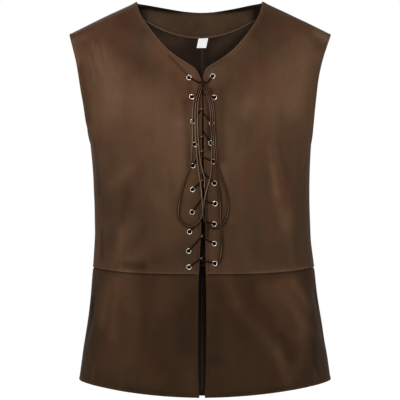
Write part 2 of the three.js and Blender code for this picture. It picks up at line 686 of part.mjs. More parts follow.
const knot = named('bow_knot', new THREE.SphereGeometry(1, 12, 8), cordFibre);
const knotPlace = clothAt('front', KNOT.x, KNOT.height, KNOT.lift);
knot.scale.set(KNOT.halfWidth, KNOT.halfDepth, KNOT.halfHeight);
knot.position.copy(knotPlace.point);
jerkin.add(knot);

for (const [name, route] of [
  ['loop_left', LOOP_LEFT],
  ['loop_right', LOOP_RIGHT],
  ['tail_left', TAIL_LEFT],
  ['tail_right', TAIL_RIGHT],
]) {
  jerkin.add(named(name, cordGeometry(route), cordFibre));
}

export default jerkin;
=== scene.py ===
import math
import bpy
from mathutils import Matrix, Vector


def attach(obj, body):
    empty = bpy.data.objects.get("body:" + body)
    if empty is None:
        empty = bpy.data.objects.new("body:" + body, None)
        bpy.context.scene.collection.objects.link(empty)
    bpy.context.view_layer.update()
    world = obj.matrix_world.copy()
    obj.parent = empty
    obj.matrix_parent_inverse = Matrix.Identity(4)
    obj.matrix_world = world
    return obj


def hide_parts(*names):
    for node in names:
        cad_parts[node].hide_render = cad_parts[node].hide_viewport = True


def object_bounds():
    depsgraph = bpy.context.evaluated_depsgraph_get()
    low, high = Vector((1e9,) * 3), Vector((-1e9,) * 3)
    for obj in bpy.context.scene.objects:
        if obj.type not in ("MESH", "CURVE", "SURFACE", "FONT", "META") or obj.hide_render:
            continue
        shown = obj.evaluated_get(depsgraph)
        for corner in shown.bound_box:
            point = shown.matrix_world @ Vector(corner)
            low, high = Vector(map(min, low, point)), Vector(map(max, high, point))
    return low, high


bl_info = {
    "name": "Laced Jerkin",
    "version": (1, 0, 0),
    "blender": (4, 5, 0),
    "location": "View3D > Sidebar > Jerkin",
    "description": "Builds a sleeveless laced jerkin in imitation suede",
    "category": "Object",
}

from functools import cache

import bpy
import numpy as np

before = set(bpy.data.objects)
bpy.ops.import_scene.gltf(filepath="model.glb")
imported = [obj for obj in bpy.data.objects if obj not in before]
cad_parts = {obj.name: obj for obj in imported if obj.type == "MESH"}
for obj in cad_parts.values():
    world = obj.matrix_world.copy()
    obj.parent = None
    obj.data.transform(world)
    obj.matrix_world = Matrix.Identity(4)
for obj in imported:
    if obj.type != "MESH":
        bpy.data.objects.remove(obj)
CAD_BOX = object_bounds()

# Sizes in the tables are millimetres. The origin is midway between the two points where the
# shoulder seams meet the neckline, the front faces -Y, and the wearer's left is +X.
MM = 0.001
FRONT, BACK = -1, 1
LEFT, RIGHT = 1, -1
CENTRE = {FRONT: "front", BACK: "back"}
HANDS = ((LEFT, "left"), (RIGHT, "right"))

# ---- the cut of the garment

# Sections from the hem up: the heights of a row at the side seam, front centre and back centre,
# its half width, its depths in front and behind, how far across its middle and the opening
# lie, half the width of the opening, and the bends of its height and of its outline.
SECTION_COLUMNS = (
    "side", "front", "back", "half", "chest", "spine", "sway", "opening", "gap", "bend", "square",
)
SECTIONS = {
    "hem": (-684, -706, -727, 227.5, 121, 126, 5, 0, 4.9, 1.9, 2.2),
    "lower skirt": (-632, -652, -664, 220.5, 119, 122, 4.7, 0, 7.2, 2.2, 2.2),
    "middle skirt": (-577, -593, -599, 212, 115, 116, 4.8, 0.4, 7.3, 2.7, 2.2),
    "upper skirt": (-525, -537, -538, 204.7, 111, 109, 3.7, 0.5, 7.2, 3.2, 2.2),
    "waist seam": (-480, -490, -489, 200.2, 108, 103, 2.7, 0.6, 6.3, 3.5, 2.2),
    "waist": (-430, -438, -437, 195.4, 107, 100, 1.4, 1.5, 4.6, 3.2, 2.2),
    "ribs": (-385, -391, -390, 195.3, 109, 100, 0.5, 2.3, 3.4, 3, 2.2),
    "lower chest": (-320, -322, -321, 196.2, 113, 105, -0.9, 1.6, 1.9, 2.6, 2.2),
    "underarm": (-255, -248, -246, 200.5, 117, 113, -2.6, 1.3, 1.8, 2.1, 2.2),
    "armhole middle": (-156.5, -120, -118, 211.4, 113, 116, -5.4, 1.2, 1.8, 1.5, 2.1),
    "upper armhole": (-108, -35.3, -34.3, 220.7, 109, 112, -4.8, -1.2, 1.8, 1.27, 2.05),
    "shoulder line": (-58, 54, 54, 237.2, 104, 108, -3.3, -4.5, 1.8, 1.03, 2),
}
HEM, WAIST_SEAM, UNDERARM, ARMHOLE_MIDDLE, SHOULDER_TIP = -684, -480, -255, -156.5, -58
ARMHOLE_REACH = 62
SHOULDER_LEVEL = ARMHOLE_MIDDLE + 90
OPENING_TOP, NECK_HALF, BACK_NECK_DIP = -149, 114, 10

NECKLINE_COLUMNS = ("height", "middle", "half")
NECKLINE = (
    (-149, 1.2, 1.8),
    (-136, -1.6, 5),
    (-125, -2.7, 12),
    (-108, -2.5, 38.5),
    (-91, -2.7, 60),
    (-55, -2.8, 89.3),
    (-24, -4, 107.4),
    (0, -4.5, 114),
)

# Ridges (rise above 0) and hollows (below 0) along lines on each side of the cloth. Each row is
# the height of a line's top and how far round from the front centre it lies, the same of its
# low end, then its rise and its width.
FOLDS = {
    RIGHT: (
        # large folds
        (-500, 128, -640, 150, 2.4, 22), (-515, 205, -600, 222, -2.6, 16),
        (-285, 62, -375, 150, -2, 17), (-395, 135, -450, 120, 2, 20),
        (-510, 350, -690, 335, 2.6, 24), (-520, 425, -700, 435, -2.4, 22),
        (-300, 330, -440, 400, -2, 22),
        # chest and shoulders
        (-72, 168, -122, 178, 1.3, 9), (-90, 148, -165, 166, 1.2, 13), (-155, 70, -205, 96, 1, 20),
        (-232, 200, -268, 158, -1.1, 9), (-268, 205, -330, 176, 0.8, 10),
        # beside the lacing
        (-210, 28, -262, 24, -0.8, 7), (-352, 27, -398, 22, 0.5, 7),
        # above the waist seam
        (-466, 66, -470, 138, -1.2, 6), (-400, 182, -462, 204, 0.9, 11),
        # skirt front
        (-520, 70, -660, 58, 0.9, 15), (-600, 110, -690, 128, -0.8, 12),
        (-664, 168, -690, 172, 0.8, 6),
        # back
        (-80, 372, -170, 400, 1.1, 14), (-225, 322, -262, 380, -1, 10),
        (-452, 350, -470, 410, -0.9, 8), (-330, 480, -460, 468, 0.8, 14),
        (-560, 470, -690, 482, 1, 13),
    ),
    LEFT: (
        # large folds
        (-500, 150, -650, 172, 2.4, 22), (-530, 222, -610, 236, -2.6, 16),
        (-505, 60, -670, 118, 1.6, 15), (-270, 118, -400, 142, 1.8, 18),
        (-505, 330, -680, 322, 2.6, 24), (-525, 410, -705, 424, -2.2, 20),
        (-330, 320, -450, 385, -1.8, 20),
        # chest and shoulders
        (-70, 172, -118, 184, 1.2, 9), (-150, 62, -215, 92, 1.3, 20),
        (-235, 196, -262, 150, -1, 9), (-275, 214, -345, 200, 0.7, 9),
        # beside the lacing
        (-158, 22, -252, 30, -1.3, 8), (-300, 26, -352, 33, 0.5, 7),
        # above the waist seam
        (-468, 92, -464, 150, -0.8, 6), (-405, 172, -458, 186, 0.9, 11),
        (-425, 50, -474, 72, 0.7, 12),
        # skirt front
        (-500, 20, -540, 40, 0.9, 10), (-560, 96, -674, 150, 1.2, 11),
        (-585, 60, -690, 108, -0.9, 12), (-668, 172, -688, 178, 0.9, 6),
        # back
        (-84, 366, -160, 392, 1, 14), (-228, 318, -270, 372, -1.1, 10),
        (-440, 345, -474, 420, -1, 9), (-380, 470, -470, 462, 0.9, 14),
        (-540, 372, -680, 386, 0.9, 12),
    ),
}
# Where the cloth is made lighter (above 0) or darker (below 0), in rows as those of the folds:
# partly brushed nap, partly painted light and shade over folds, creases and beside the lacing.
NAP_AND_PAINTED_LIGHT = {
    RIGHT: (
        # bodice below the chest
        (-185, 50, -300, 52, 0.62, 30), (-225, 26, -345, 27, 0.4, 12),
        (-285, 70, -345, 100, 0.3, 22), (-345, 62, -395, 48, 0.3, 26),
        (-250, 205, -345, 202, -0.5, 8), (-350, 118, -392, 128, -0.3, 14),
        (-285, 66, -330, 66, -0.35, 12), (-298, 105, -330, 155, 0.4, 12),
        (-330, 178, -440, 170, -0.2, 22), (-408, 82, -445, 116, -0.25, 14),
        (-462, 142, -420, 132, 0.3, 10), (-466, 112, -450, 84, 0.25, 10),
        (-385, 132, -430, 160, -0.25, 12), (-415, 192, -460, 188, -0.6, 9),
        (-455, 20, -458, 66, -0.3, 24), (-475, 120, -477, 88, -0.8, 8),
        (-185, 19, -300, 17, -0.6, 4),
        # skirt
        (-494, 116, -536, 112, 0.75, 20), (-505, 138, -598, 134, 0.75, 12),
        (-540, 128, -590, 126, -0.5, 11), (-560, 96, -640, 98, 0.4, 12),
        (-486, 165, -498, 160, -0.5, 8), (-500, 158, -575, 168, 1.1, 15),
        (-520, 182, -560, 184, 0.5, 10), (-502, 52, -550, 54, 0.45, 16),
        (-530, 8, -625, 12, -0.5, 13), (-548, 27, -620, 24, -0.4, 9),
        (-600, 62, -655, 48, -0.35, 14), (-560, 118, -650, 122, 0.35, 26),
        (-543, 226, -576, 212, -1.3, 8), (-600, 224, -668, 228, -0.4, 14),
        (-700, 48, -694, 100, -0.7, 8), (-700, 190, -712, 30, -0.3, 9),
        (-655, 176, -680, 180, 0.5, 5),
        # back
        (-150, 430, -230, 360, 0.45, 22), (-260, 500, -380, 440, -0.4, 22),
        (-420, 370, -465, 440, 0.4, 13), (-500, 400, -600, 390, 0.7, 14),
        (-520, 505, -640, 510, -0.5, 13), (-560, 320, -585, 306, -0.8, 8),
        (-700, 330, -706, 490, -0.35, 9),
    ),
    LEFT: (
        # bodice below the chest
        (-165, 7, -268, 7, -1.2, 5), (-350, 1, -392, 1, -0.4, 3), (-402, 4, -424, 4, -0.8, 3.5),
        (-165, 20, -285, 24, -0.5, 7), (-226, 62, -330, 84, -0.15, 22),
        (-245, 40, -345, 58, 0.25, 24), (-264, 98, -346, 114, 0.45, 5),
        (-255, 118, -315, 138, -0.4, 8), (-300, 108, -350, 122, 0.35, 7),
        (-345, 112, -405, 130, 0.35, 9), (-318, 152, -440, 165, -0.1, 12),
        (-385, 144, -468, 148, 0.45, 12), (-300, 26, -395, 38, 0.4, 6),
        (-345, 30, -450, 36, -0.15, 16), (-350, 70, -450, 80, -0.12, 18),
        (-488, 68, -479, 199, 0.5, 4),
        # skirt
        (-515, 90, -600, 132, 0.7, 14), (-512, 116, -582, 156, 1.3, 16),
        (-504, 146, -552, 184, 1.2, 12), (-500, 132, -548, 168, 0.5, 12),
        (-545, 40, -665, 128, 0.35, 9), (-496, 30, -540, 44, 0.5, 10),
        (-512, 18, -600, 48, -0.3, 9), (-500, 62, -545, 68, -0.3, 7),
        (-550, 84, -600, 94, -0.3, 10), (-560, 14, -640, 14, -0.4, 10),
        (-605, 148, -650, 143, 0.8, 12), (-612, 178, -655, 176, -0.6, 10),
        (-600, 112, -640, 120, -0.5, 10), (-640, 10, -690, 12, -0.4, 12),
        (-625, 100, -680, 112, 0.7, 10), (-552, 182, -580, 192, -0.8, 11),
        (-552, 207, -578, 214, -0.9, 8), (-560, 128, -660, 148, -0.3, 12),
        (-560, 226, -645, 240, -0.6, 8), (-704, 20, -700, 100, -0.4, 8),
        (-700, 190, -712, 30, -0.3, 9), (-660, 172, -685, 176, 0.5, 5),
        # back
        (-170, 420, -250, 350, 0.4, 24), (-280, 490, -400, 430, -0.4, 20),
        (-380, 360, -450, 330, -0.35, 16), (-505, 385, -610, 392, 0.7, 14),
        (-530, 512, -650, 508, -0.45, 12), (-552, 316, -580, 304, -0.8, 8),
        (-700, 330, -706, 490, -0.35, 9),
    ),
}
# The same on the front above the ribs, where low and top go with how far across each end lies.
CHEST_NAP_AND_PAINTED_LIGHT = {
    RIGHT: (
        # painted shade in the crease below the neckline
        (-104, 58, -136, 28, -0.9, 2.6),
        # chest
        (-98, 176, -200, 160, 0.58, 20), (-128, 158, -172, 150, 0.3, 20),
        (-40, 140, -60, 112, -0.65, 20), (-80, 160, -125, 90, -0.5, 22),
        (-140, 50, -175, 32, -0.4, 14), (-132, 105, -185, 48, -0.35, 26),
        (-120, 216, -215, 202, -0.8, 7), (-66, 210, -74, 236, 0.5, 7),
        (-74, 234, -118, 222, 0.9, 5), (-76, 196, -122, 186, 0.45, 2.8),
        (-84, 187, -134, 178, 0.45, 2.6), (-70, 178, -106, 171, 0.35, 2.6),
        (-104, 200, -150, 190, 0.4, 2.6), (-150, 22, -182, 20, -0.6, 5),
    ),
    LEFT: (
        (-58, 208, -72, 234, 1.6, 10), (-66, 180, -100, 208, 0.4, 12),
        (-98, 184, -196, 166, 0.7, 18), (-84, 206, -92, 200, -0.3, 8),
        (-128, 148, -185, 138, 0.45, 20), (-186, 84, -204, 76, 0.55, 14),
        (-36, 112, -66, 98, -0.6, 20), (-92, 112, -150, 52, -0.5, 24),
        (-46, 140, -66, 136, -0.35, 18), (-98, 74, -118, 50, -0.4, 12),
        (-112, 34, -122, 12, -0.4, 8),
    ),
}
ROUND_PER_DEGREE = 2.9  # the distance round the body that stands for one degree

# Eyelets from the top down: across and height on the left, the same on the right, and the
# heights at which the lace from each dives into the opening. The top pair leads to the bow.
EYELETS = (
    (18.5, -140.5, -23, -143, None, None),
    (21.5, -178, -18, -177, -172, -167),
    (16.5, -223, -16, -220, -206, -197),
    (15.5, -258.5, -12.5, -260.5, -238, -246),
    (19.5, -291, -16, -298, -283, -271),
    (21.5, -329, -16.5, -340, -310, -323),
    (23, -365, -17.5, -380, -359.5, -354.5),
    (21.5, -401, -22, -414.5, -395, -390),
    (21.5, -435.5, -23.5, -448.5, -426, -421),
    (22.5, -470.5, -23, -477, -465, -460),
)
BOTTOM_BAR = (-474, -2.6)  # height and lift of the lace behind the lowest pair
KNOT = (1.8, -155, 7)  # across, height and lift of the bow's knot
# Ways of the lace round its turns: distance from the eyelet and lift above the cloth.
BEHIND, FRONT_TURN = ((6, -3.1), (2, -3.6)), ((2, 3.7), (6.4, 3.05))
INSIDE_EYELET = 1.6  # lift on both sides of the cloth while the lace is in an eyelet
# The dive into the opening: back from its middle, down, and lift above the cloth.
DIVE = ((-1.3, 0.6, 2.5), (0.2, 0.2, 1), (-0.2, -0.2, -1), (1.3, -0.6, -2.5))
LACE_LIT_DIVES = (-197, -246, -271, -323, -421, -460)  # the dives that get a painted highlight

# Routes of the free cords: across, height and lift of the cord's middle above the cloth.
LOOP_RIGHT = (
    (-5.5, -158.5, 7), (-9, -167, 6.7), (-12.4, -178, 6.6), (-15.2, -192, 6.6), (-16.3, -209, 6.6),
    (-16.5, -228, 6.6), (-16.4, -245, 6.2), (-17, -264, 6.2), (-18, -284, 6.4), (-20.5, -300, 6),
    (-26.5, -316, 4.4), (-33.5, -338, 2.8), (-38.5, -359, 2.6), (-41, -376, 2.6),
    (-40.3, -388, 2.6), (-35.5, -397.5, 2.6), (-26.5, -404.5, 3.2), (-17.5, -405.5, 4.8),
    (-9, -400.5, 5.9), (-2, -391, 5.9), (2, -378, 5.9), (4.2, -359, 5.9), (9, -338, 5.9),
    (15, -317, 6), (16.6, -301, 6.5), (17, -285, 6.6), (17, -271, 6.4), (16.5, -250, 6.6),
    (15.4, -225, 6.7), (14.5, -203, 6.5), (12.8, -191, 6.5), (9.2, -178, 6.5), (6, -168, 6.7),
    (3.9, -162, 7),
)
LOOP_LEFT = (
    (-3.2, -160.8, 7.2), (-5.6, -168, 6.9), (-9, -179, 6.6), (-11.2, -193, 6.4),
    (-11.9, -209, 6.4), (-11.7, -232, 6.4), (-10.8, -248, 6.6), (-9.8, -264, 6.7),
    (-8.2, -288, 6), (-4.6, -315, 5.9), (-1.4, -338, 6.8), (-0.4, -352, 8.4), (1, -366, 8.9),
    (1.8, -380, 8.9), (2.8, -390, 7.2), (6.2, -397.5, 5.9), (11.3, -403.5, 4.6),
    (18.3, -407.2, 3.6), (28.5, -406.6, 2.8), (34.8, -403, 2.6), (40.3, -396.6, 2.6),
    (44, -388, 2.6), (46, -378, 2.6), (46.4, -366, 2.6), (42.6, -343, 2.6), (37, -326, 3),
    (31.6, -311, 4.2), (28, -299, 5.4), (25.8, -285, 6.2), (24.6, -271, 6.3), (23.3, -250, 6.5),
    (22, -226, 6.6), (21, -205, 6.4), (19.8, -192, 6.4), (16.2, -178, 6.6), (12.6, -167, 6.9),
    (9.1, -158.5, 7),
)
TAIL_RIGHT = (
    (-0.3, -162, 7.2), (-2.4, -169, 6.9), (-5.4, -180, 6.4), (-7.2, -194, 6.2), (-7.9, -212, 6.2),
    (-7.8, -224, 6.1), (-7.4, -236, 6), (-6.6, -249, 6), (-5.4, -264, 5.9), (-3.4, -285, 5.8),
    (-1.2, -298, 5.8), (1.2, -308, 5.8), (3.6, -317, 5.8), (4.6, -328, 5.8), (4.4, -338, 5.6),
)
TAIL_LEFT = (
    (6.8, -160.8, 7.2), (9.3, -168, 6.9), (12.6, -179, 6.6), (16.4, -193, 6.5), (17.9, -206, 6.5),
    (18.7, -225, 6.7), (20, -250, 6.5), (20.9, -268, 6.4), (22, -283, 6.6), (23.4, -298, 6.2),
    (26, -315, 5), (28.8, -334, 3.2), (31.4, -355, 2.6), (32.4, -378, 2.8), (32.8, -392, 4.3),
    (33.4, -403, 5.7), (34.2, -414, 4.4), (34.8, -425, 2.9), (35, -437, 2.6), (34.2, -449, 2.6),
    (32.4, -461, 2.6), (29.4, -469.5, 2.6),
)
# Real length of each free cord, in metres, and what is on its far end.
CORDS = {
    "loop_left": (LOOP_LEFT, 0.545, "object"),
    "loop_right": (LOOP_RIGHT, 0.538, "object"),
    "tail_left": (TAIL_LEFT, 0.322, "bare"),
    "tail_right": (TAIL_RIGHT, 0.187, "bare"),
}

# The back neck facing and the label: their outlines, their layers inward and their grids.
FACING_REACH, FACING_TOP, FACING_MIDDLE_LOW, FACING_END_RISE = 113.2, 1, -55, 37
LABEL_MIDDLE, LABEL_TOP, LABEL_WIDTH, LABEL_LENGTH, LABEL_LEAN = 1, -53.6, 18, 19, -4
BACK_CLOTH, FACING_CLOTH, LABEL_CLOTH, LAYER_GAP = 1.5, 1.2, 1, 0.8
FACING_COLUMNS, FACING_ROWS, LABEL_COLUMNS, LABEL_ROWS = 90, 22, 16, 18
LABEL_HALF = 0.3  # half thickness of the label's woven tape
EYELET_ROLL, EYELET_STAND = 0.00055, 0.0013  # half height of a roll, and of its barrel, in metres
# How far in from an edge its topstitching runs, and the step in level and angle away from it.
STITCH_ROW, HEM_STITCH_ROW = 3.1, 4.3
NECK_IN, ARMHOLE_IN, FRONT_IN, HEM_IN = (-0.6, 0.6), (-0.6, -0.5), (0, 0.5), (2, 0)

# Section of a turned edge, as places into the cloth from its fold and out from the cloth's middle,
# and how much lighter or darker each place is made: rubbed and with a painted highlight along the
# fold, painted shade in the stitch groove.
TURNED_EDGE = (
    (6.2, -0.4), (5.8, 0.45), (4.7, 0.8), (3.7, 0.88), (3.1, 0.82), (2.5, 0.95), (1.7, 1.15),
    (0.8, 1.15), (0.05, 0.9), (-0.25, 0.45), (-0.25, -0.45), (0.1, -0.9), (0.9, -1.1),
    (2.4, -1.1), (5.4, -0.95),
)
TURNED_WEAR_AND_LIGHT = (0, 0, -0.05, -0.1, -0.4, -0.15, 0.1, 1.0, 1.2, 0.3, -0.2, -0.3, -0.3, -0.4, -0.4)
# The same for a pressed seam allowance, from its seam.
SEAM_ALLOWANCE = ((0.35, -0.8), (5.5, -0.85), (10.8, -0.85), (11.1, -1.15), (10.8, -1.45),
                  (5.5, -1.5), (1.7, -1.6), (0.35, -1.55))
SEAM_WEAR = (0, 0, 0, 0, 0, 0, 0.1, 3.4)


# ---- the form of the cloth


def along_table(rows, key, column, at):
    """One column of a table on a smooth curve, read at values of its key column."""
    keys = np.array([row[key] for row in rows], float)
    values = np.array([row[column] for row in rows], float)
    slopes = np.empty_like(keys)
    slopes[1:-1] = (values[2:] - values[:-2]) / (keys[2:] - keys[:-2])
    slopes[[0, -1]] = (np.diff(values) / np.diff(keys))[[0, -1]]
    i = np.clip(np.searchsorted(keys, at) - 1, 0, len(keys) - 2)
    span = keys[i + 1] - keys[i]
    t = (at - keys[i]) / span
    curve = values[i] + (values[i + 1] - values[i]) * t * t * (3 - 2 * t)
    return curve + span * t * (1 - t) * ((1 - t) * slopes[i] - t * slopes[i + 1])


def section_value(key, column, at):
    places = [SECTION_COLUMNS.index(name) for name in (key, column)]
    return along_table(tuple(SECTIONS.values()), *places, at)


def neckline_value(column, height):
    return along_table(NECKLINE, 0, NECKLINE_COLUMNS.index(column), height)


def row_at(level):
    """The section at a level: a height at the side, and over the armhole's middle a degree
    of the arch that carries the cloth over the shoulder for each further unit."""
    level = np.asarray(level, float)
    lean = np.radians(np.maximum(level - ARMHOLE_MIDDLE, 0))
    side = np.minimum(level, ARMHOLE_MIDDLE) + (SHOULDER_TIP - ARMHOLE_MIDDLE) * np.sin(lean)
    row = {name: section_value("side", name, side) for name in SECTION_COLUMNS[1:]}
    below = ramp(level, ARMHOLE_MIDDLE, UNDERARM)
    row.update(side=side, arch=np.cos(lean), arm=ARMHOLE_REACH * np.sqrt(1 - below**2))
    return row


def span_of(row, side):
    return row["half"] + side * (row["sway"] - row["opening"])


def depth_of(row, face):
    return np.where(face < 0, row["chest"], row["spine"])


def edge_angle(row, face):
    """Where a row reaches the side seam, or the armhole that is cut out of it."""
    return np.degrees(np.arccos((row["arm"] / depth_of(row, face)) ** (row["square"] / 2)))


def angle_of(row, face, share):
    edge = np.sin(np.radians(edge_angle(row, face)))
    return np.degrees(np.arcsin(np.clip(share ** (row["square"] / 2) * edge, 0, 1)))


def height_on(row, face, share):
    centre = np.where(face < 0, row["front"], row["back"])
    return centre + (row["side"] - centre) * share ** row["bend"]


def smooth_point(face, side, level, angle):
    """The garment's form without folds. angle runs from 0 at the centre to 90 at the side, and
    past either end, or past the shoulder line, the form goes on round the body."""
    face, side, level, angle = np.broadcast_arrays(face, side, level, angle)
    side = np.where(angle < 0, -side, side)
    angle = np.abs(angle)
    face = np.where(angle > 90, -face, face)
    angle = np.where(angle > 90, 180 - angle, angle)
    face = np.where(level > SHOULDER_LEVEL, -face, face)
    level = np.where(level > SHOULDER_LEVEL, 2 * SHOULDER_LEVEL - level, level)
    row = row_at(level)
    turn = np.radians(angle)
    edge = np.radians(edge_angle(row, face))
    share = (np.sin(turn) / np.sin(edge)) ** (2 / row["square"])
    reach = np.maximum(np.cos(turn), 0) ** (2 / row["square"])
    x = row["opening"] + side * span_of(row, side) * share
    y = face * depth_of(row, face) * reach * row["arch"]
    return np.stack((x, y, height_on(row, face, share)), -1)


LATTICE = np.random.default_rng(11).uniform(-1, 1, (24, 24, 24))


def drift(points, size):
    """Soft unevenness between -1 and 1 that changes over a distance of size."""
    cell = points / size + 120
    base = np.floor(cell).astype(int)
    t = cell - base
    t = t * t * (3 - 2 * t)
    total = 0
    for corner in np.ndindex(2, 2, 2):
        weight = np.prod(np.where(corner, t, 1 - t), -1)
        i, j, k = np.moveaxis((base + corner) % 24, -1, 0)
        total = total + weight * LATTICE[i, j, k]
    return total


def bell(distance, width, centre=0.0):
    return np.exp(-(((distance - centre) / width) ** 2))


def ramp(value, start, end):
    """0 up to start, 1 from end on, and straight between them."""
    return np.clip((value - start) / (end - start), 0, 1)


def along_marks(marks, face, side, angle, height):
    """The sum of soft marks that run along lines on the cloth, such as its folds."""
    around = ROUND_PER_DEGREE * np.where(face < 0, angle, 180 - angle)
    total = np.zeros(np.broadcast(side, around, height).shape)
    for hand, rows in marks.items():
        for top, top_round, low, low_round, rise, width in rows:
            across, drop = low_round - top_round, low - top
            share = (around - top_round) * across + (height - top) * drop
            share = np.clip(share / (across**2 + drop**2), 0, 1)
            off = np.hypot(around - top_round - share * across, height - top - share * drop)
            total += np.where(side == hand, rise * bell(off, width), 0)
    return total


def unit(vectors):
    return vectors / np.linalg.norm(vectors, axis=-1, keepdims=True)


def cloth(face, side, level, angle, lift=0.0):
    """Points of the cloth's middle, moved out by lift, their outward directions and folds."""

    def step(up, onward):
        ahead = smooth_point(face, side, level + up, angle + onward)
        return ahead - smooth_point(face, side, level - up, angle - onward)

    outward = unit(np.cross(step(0, 0.6), step(0.6, 0)))
    outward = outward * np.where(side * face > 0, -1, 1)[..., None]
    point = smooth_point(face, side, level, angle)
    rise = along_marks(FOLDS, face, side, angle, point[..., 2])
    rise = rise + 0.9 * drift(point, np.array((62, 62, 115)))
    rise = rise + 0.3 * drift(point, np.array((21, 21, 34)))
    return point + outward * (rise + lift)[..., None], outward, rise


def turning_point(low, high, test):
    """Halves a range until it holds only the place where test turns from minus to plus."""
    for _ in range(34):
        middle = (low + high) / 2
        under = test(middle) < 0
        low, high = np.where(under, middle, low), np.where(under, high, middle)
    return (low + high) / 2


def cloth_at(face, places):
    """The cloth at places given as across, height and lift."""
    x, height, lift = np.asarray(places, float).T
    side = np.where(x > section_value(CENTRE[face], "opening", height), LEFT, RIGHT)

    def share_in(row):
        return np.minimum(np.abs(x - row["opening"]) / span_of(row, side), 1)

    def over(level):
        row = row_at(level)
        return height_on(row, face, share_in(row)) - height

    level = turning_point(np.full(x.shape, float(HEM)), np.full(x.shape, SHOULDER_LEVEL), over)
    row = row_at(level)
    point, outward, _ = cloth(face, side, level, angle_of(row, face, share_in(row)), lift)
    return point, outward


def back_neck_height(share):
    """How high the back neckline lies at a share of the way from its middle to its end."""
    square = share * share
    return BACK_NECK_DIP * (square * np.where(square < 1, 1.9 - 0.9 * square, 1) - 1)


def start_angle(face, side, level):
    """Where a row starts: the front edge, the neckline or the centre-back seam."""
    row = row_at(level)
    span = span_of(row, side)

    def past_neckline(share):
        height = np.minimum(height_on(row, face, share), 0)
        if face > 0:
            return back_neck_height(share * span / NECK_HALF) - height_on(row, face, share)
        shift = neckline_value("middle", height) - row["opening"]
        return share * span - side * shift - neckline_value("half", height)

    shares = turning_point(np.zeros(row["side"].shape), np.ones(row["side"].shape), past_neckline)
    if face < 0:
        shares = np.where(row["front"] > OPENING_TOP, shares, row["gap"] / span)
    else:
        shares = np.where(row["back"] > -BACK_NECK_DIP, shares, 0)
    return angle_of(row, face, shares)


def level_where(face, height):
    """Where a face's centre stands at a height."""
    centre = CENTRE[face]
    return float(turning_point(HEM, SHOULDER_LEVEL, lambda level: row_at(level)[centre] - height))


def back_neck_level(x):
    height = back_neck_height(x / NECK_HALF)

    def over(level):
        row = row_at(level)
        return height_on(row, BACK, x / span_of(row, LEFT)) - height

    return turning_point(np.full(x.shape, float(ARMHOLE_MIDDLE)), SHOULDER_LEVEL, over)


# ---- lines on the cloth


def run_from(points, axis=0, reverse=False):
    """Distance from one end of a line, or of each row or column of a grid."""
    steps = np.linalg.norm(np.diff(points, axis=axis), axis=-1)
    steps = np.flip(steps, axis) if reverse else steps
    run = np.insert(np.cumsum(steps, axis), 0, 0, axis)
    return np.flip(run, axis) if reverse else run


def resampled(line, pitch, *carried):
    """A line at even steps, with anything that is carried along it."""
    run = run_from(line)
    steps = np.linspace(0, run[-1], max(int(round(run[-1] / pitch)), 2) + 1)
    made = [np.stack([np.interp(steps, run, column) for column in each.T], -1)
            for each in (line, *carried)]
    return made if carried else made[0]


def edge_line(face, side, level, angle, deeper, pitch=1.6):
    """An edge of the cloth as points, directions out, and directions into the cloth. deeper is
    the step in level and angle that leads away from the edge."""
    point, outward, _ = cloth(face, side, level, angle)
    inner, _, _ = cloth(face, side, level + deeper[0], angle + deeper[1])
    line, outward, inner = resampled(point, pitch, outward, inner)
    along = unit(np.gradient(line, axis=0))
    outward = unit(outward - along * np.sum(outward * along, -1, keepdims=True))
    inward = np.cross(outward, along)
    turn = np.sign(np.sum(inward * (inner - line), -1))[:, None]
    return line, outward, inward * turn


def joined(parts):
    return [np.concatenate(each) for each in zip(*parts)]


def neck_edge():
    """From the opening's top on the left, up the neckline, round the back and down again."""
    halves = []
    for side in (LEFT, RIGHT):
        level = np.concatenate((
            np.linspace(WAIST_SEAM, level_where(FRONT, OPENING_TOP), 110),
            np.linspace(level_where(FRONT, OPENING_TOP) + 0.2, SHOULDER_LEVEL, 150),
        ))
        front = (np.full(level.shape, FRONT), level, start_angle(FRONT, side, level))
        across = np.linspace(NECK_HALF, 0, 70)[1:]
        level = back_neck_level(across)
        row = row_at(level)
        angle = angle_of(row, BACK, np.clip(across / span_of(row, side), 0, 1))
        back = (np.full(level.shape, BACK), level, angle)
        face, level, angle = joined((front, back))
        halves.append([face, np.full(face.shape, side), level, angle])
    other = [each[::-1][1:] for each in halves[1]]
    return joined((halves[0], other))


def armhole_edge(side):
    turn = np.radians(np.linspace(90, 0, 60))
    level = ARMHOLE_MIDDLE + (UNDERARM - ARMHOLE_MIDDLE) * np.sin(turn)
    level = np.concatenate((level, np.linspace(ARMHOLE_MIDDLE, SHOULDER_LEVEL, 60)[1:]))
    front = (np.full(level.shape, FRONT), level, edge_angle(row_at(level), FRONT))
    down = level[::-1][1:]
    back = (np.full(down.shape, BACK), down, edge_angle(row_at(down), BACK))
    face, level, angle = joined((front, back))
    return face, np.full(face.shape, side), level, angle


def hem_edge():
    """Right round the hem, from one front edge to the other."""
    count = 120
    level = np.full(count, float(HEM))
    quarter = np.linspace(0, 1, count)
    parts = []
    quarters = ((FRONT, LEFT, 1), (BACK, LEFT, -1), (BACK, RIGHT, 1), (FRONT, RIGHT, -1))
    for face, side, way in quarters:
        start = start_angle(face, side, level) if face < 0 else 0
        angle = (start + (90 - start) * quarter)[::way]
        made = (np.full(count, face), np.full(count, side), level, angle)
        parts.append([each[1:] if parts else each for each in made])
    return joined(parts)


def skirt_front_edge(side):
    level = np.linspace(HEM, WAIST_SEAM, 100)
    face = np.full(level.shape, FRONT)
    return face, np.full(level.shape, side), level, start_angle(FRONT, side, level)


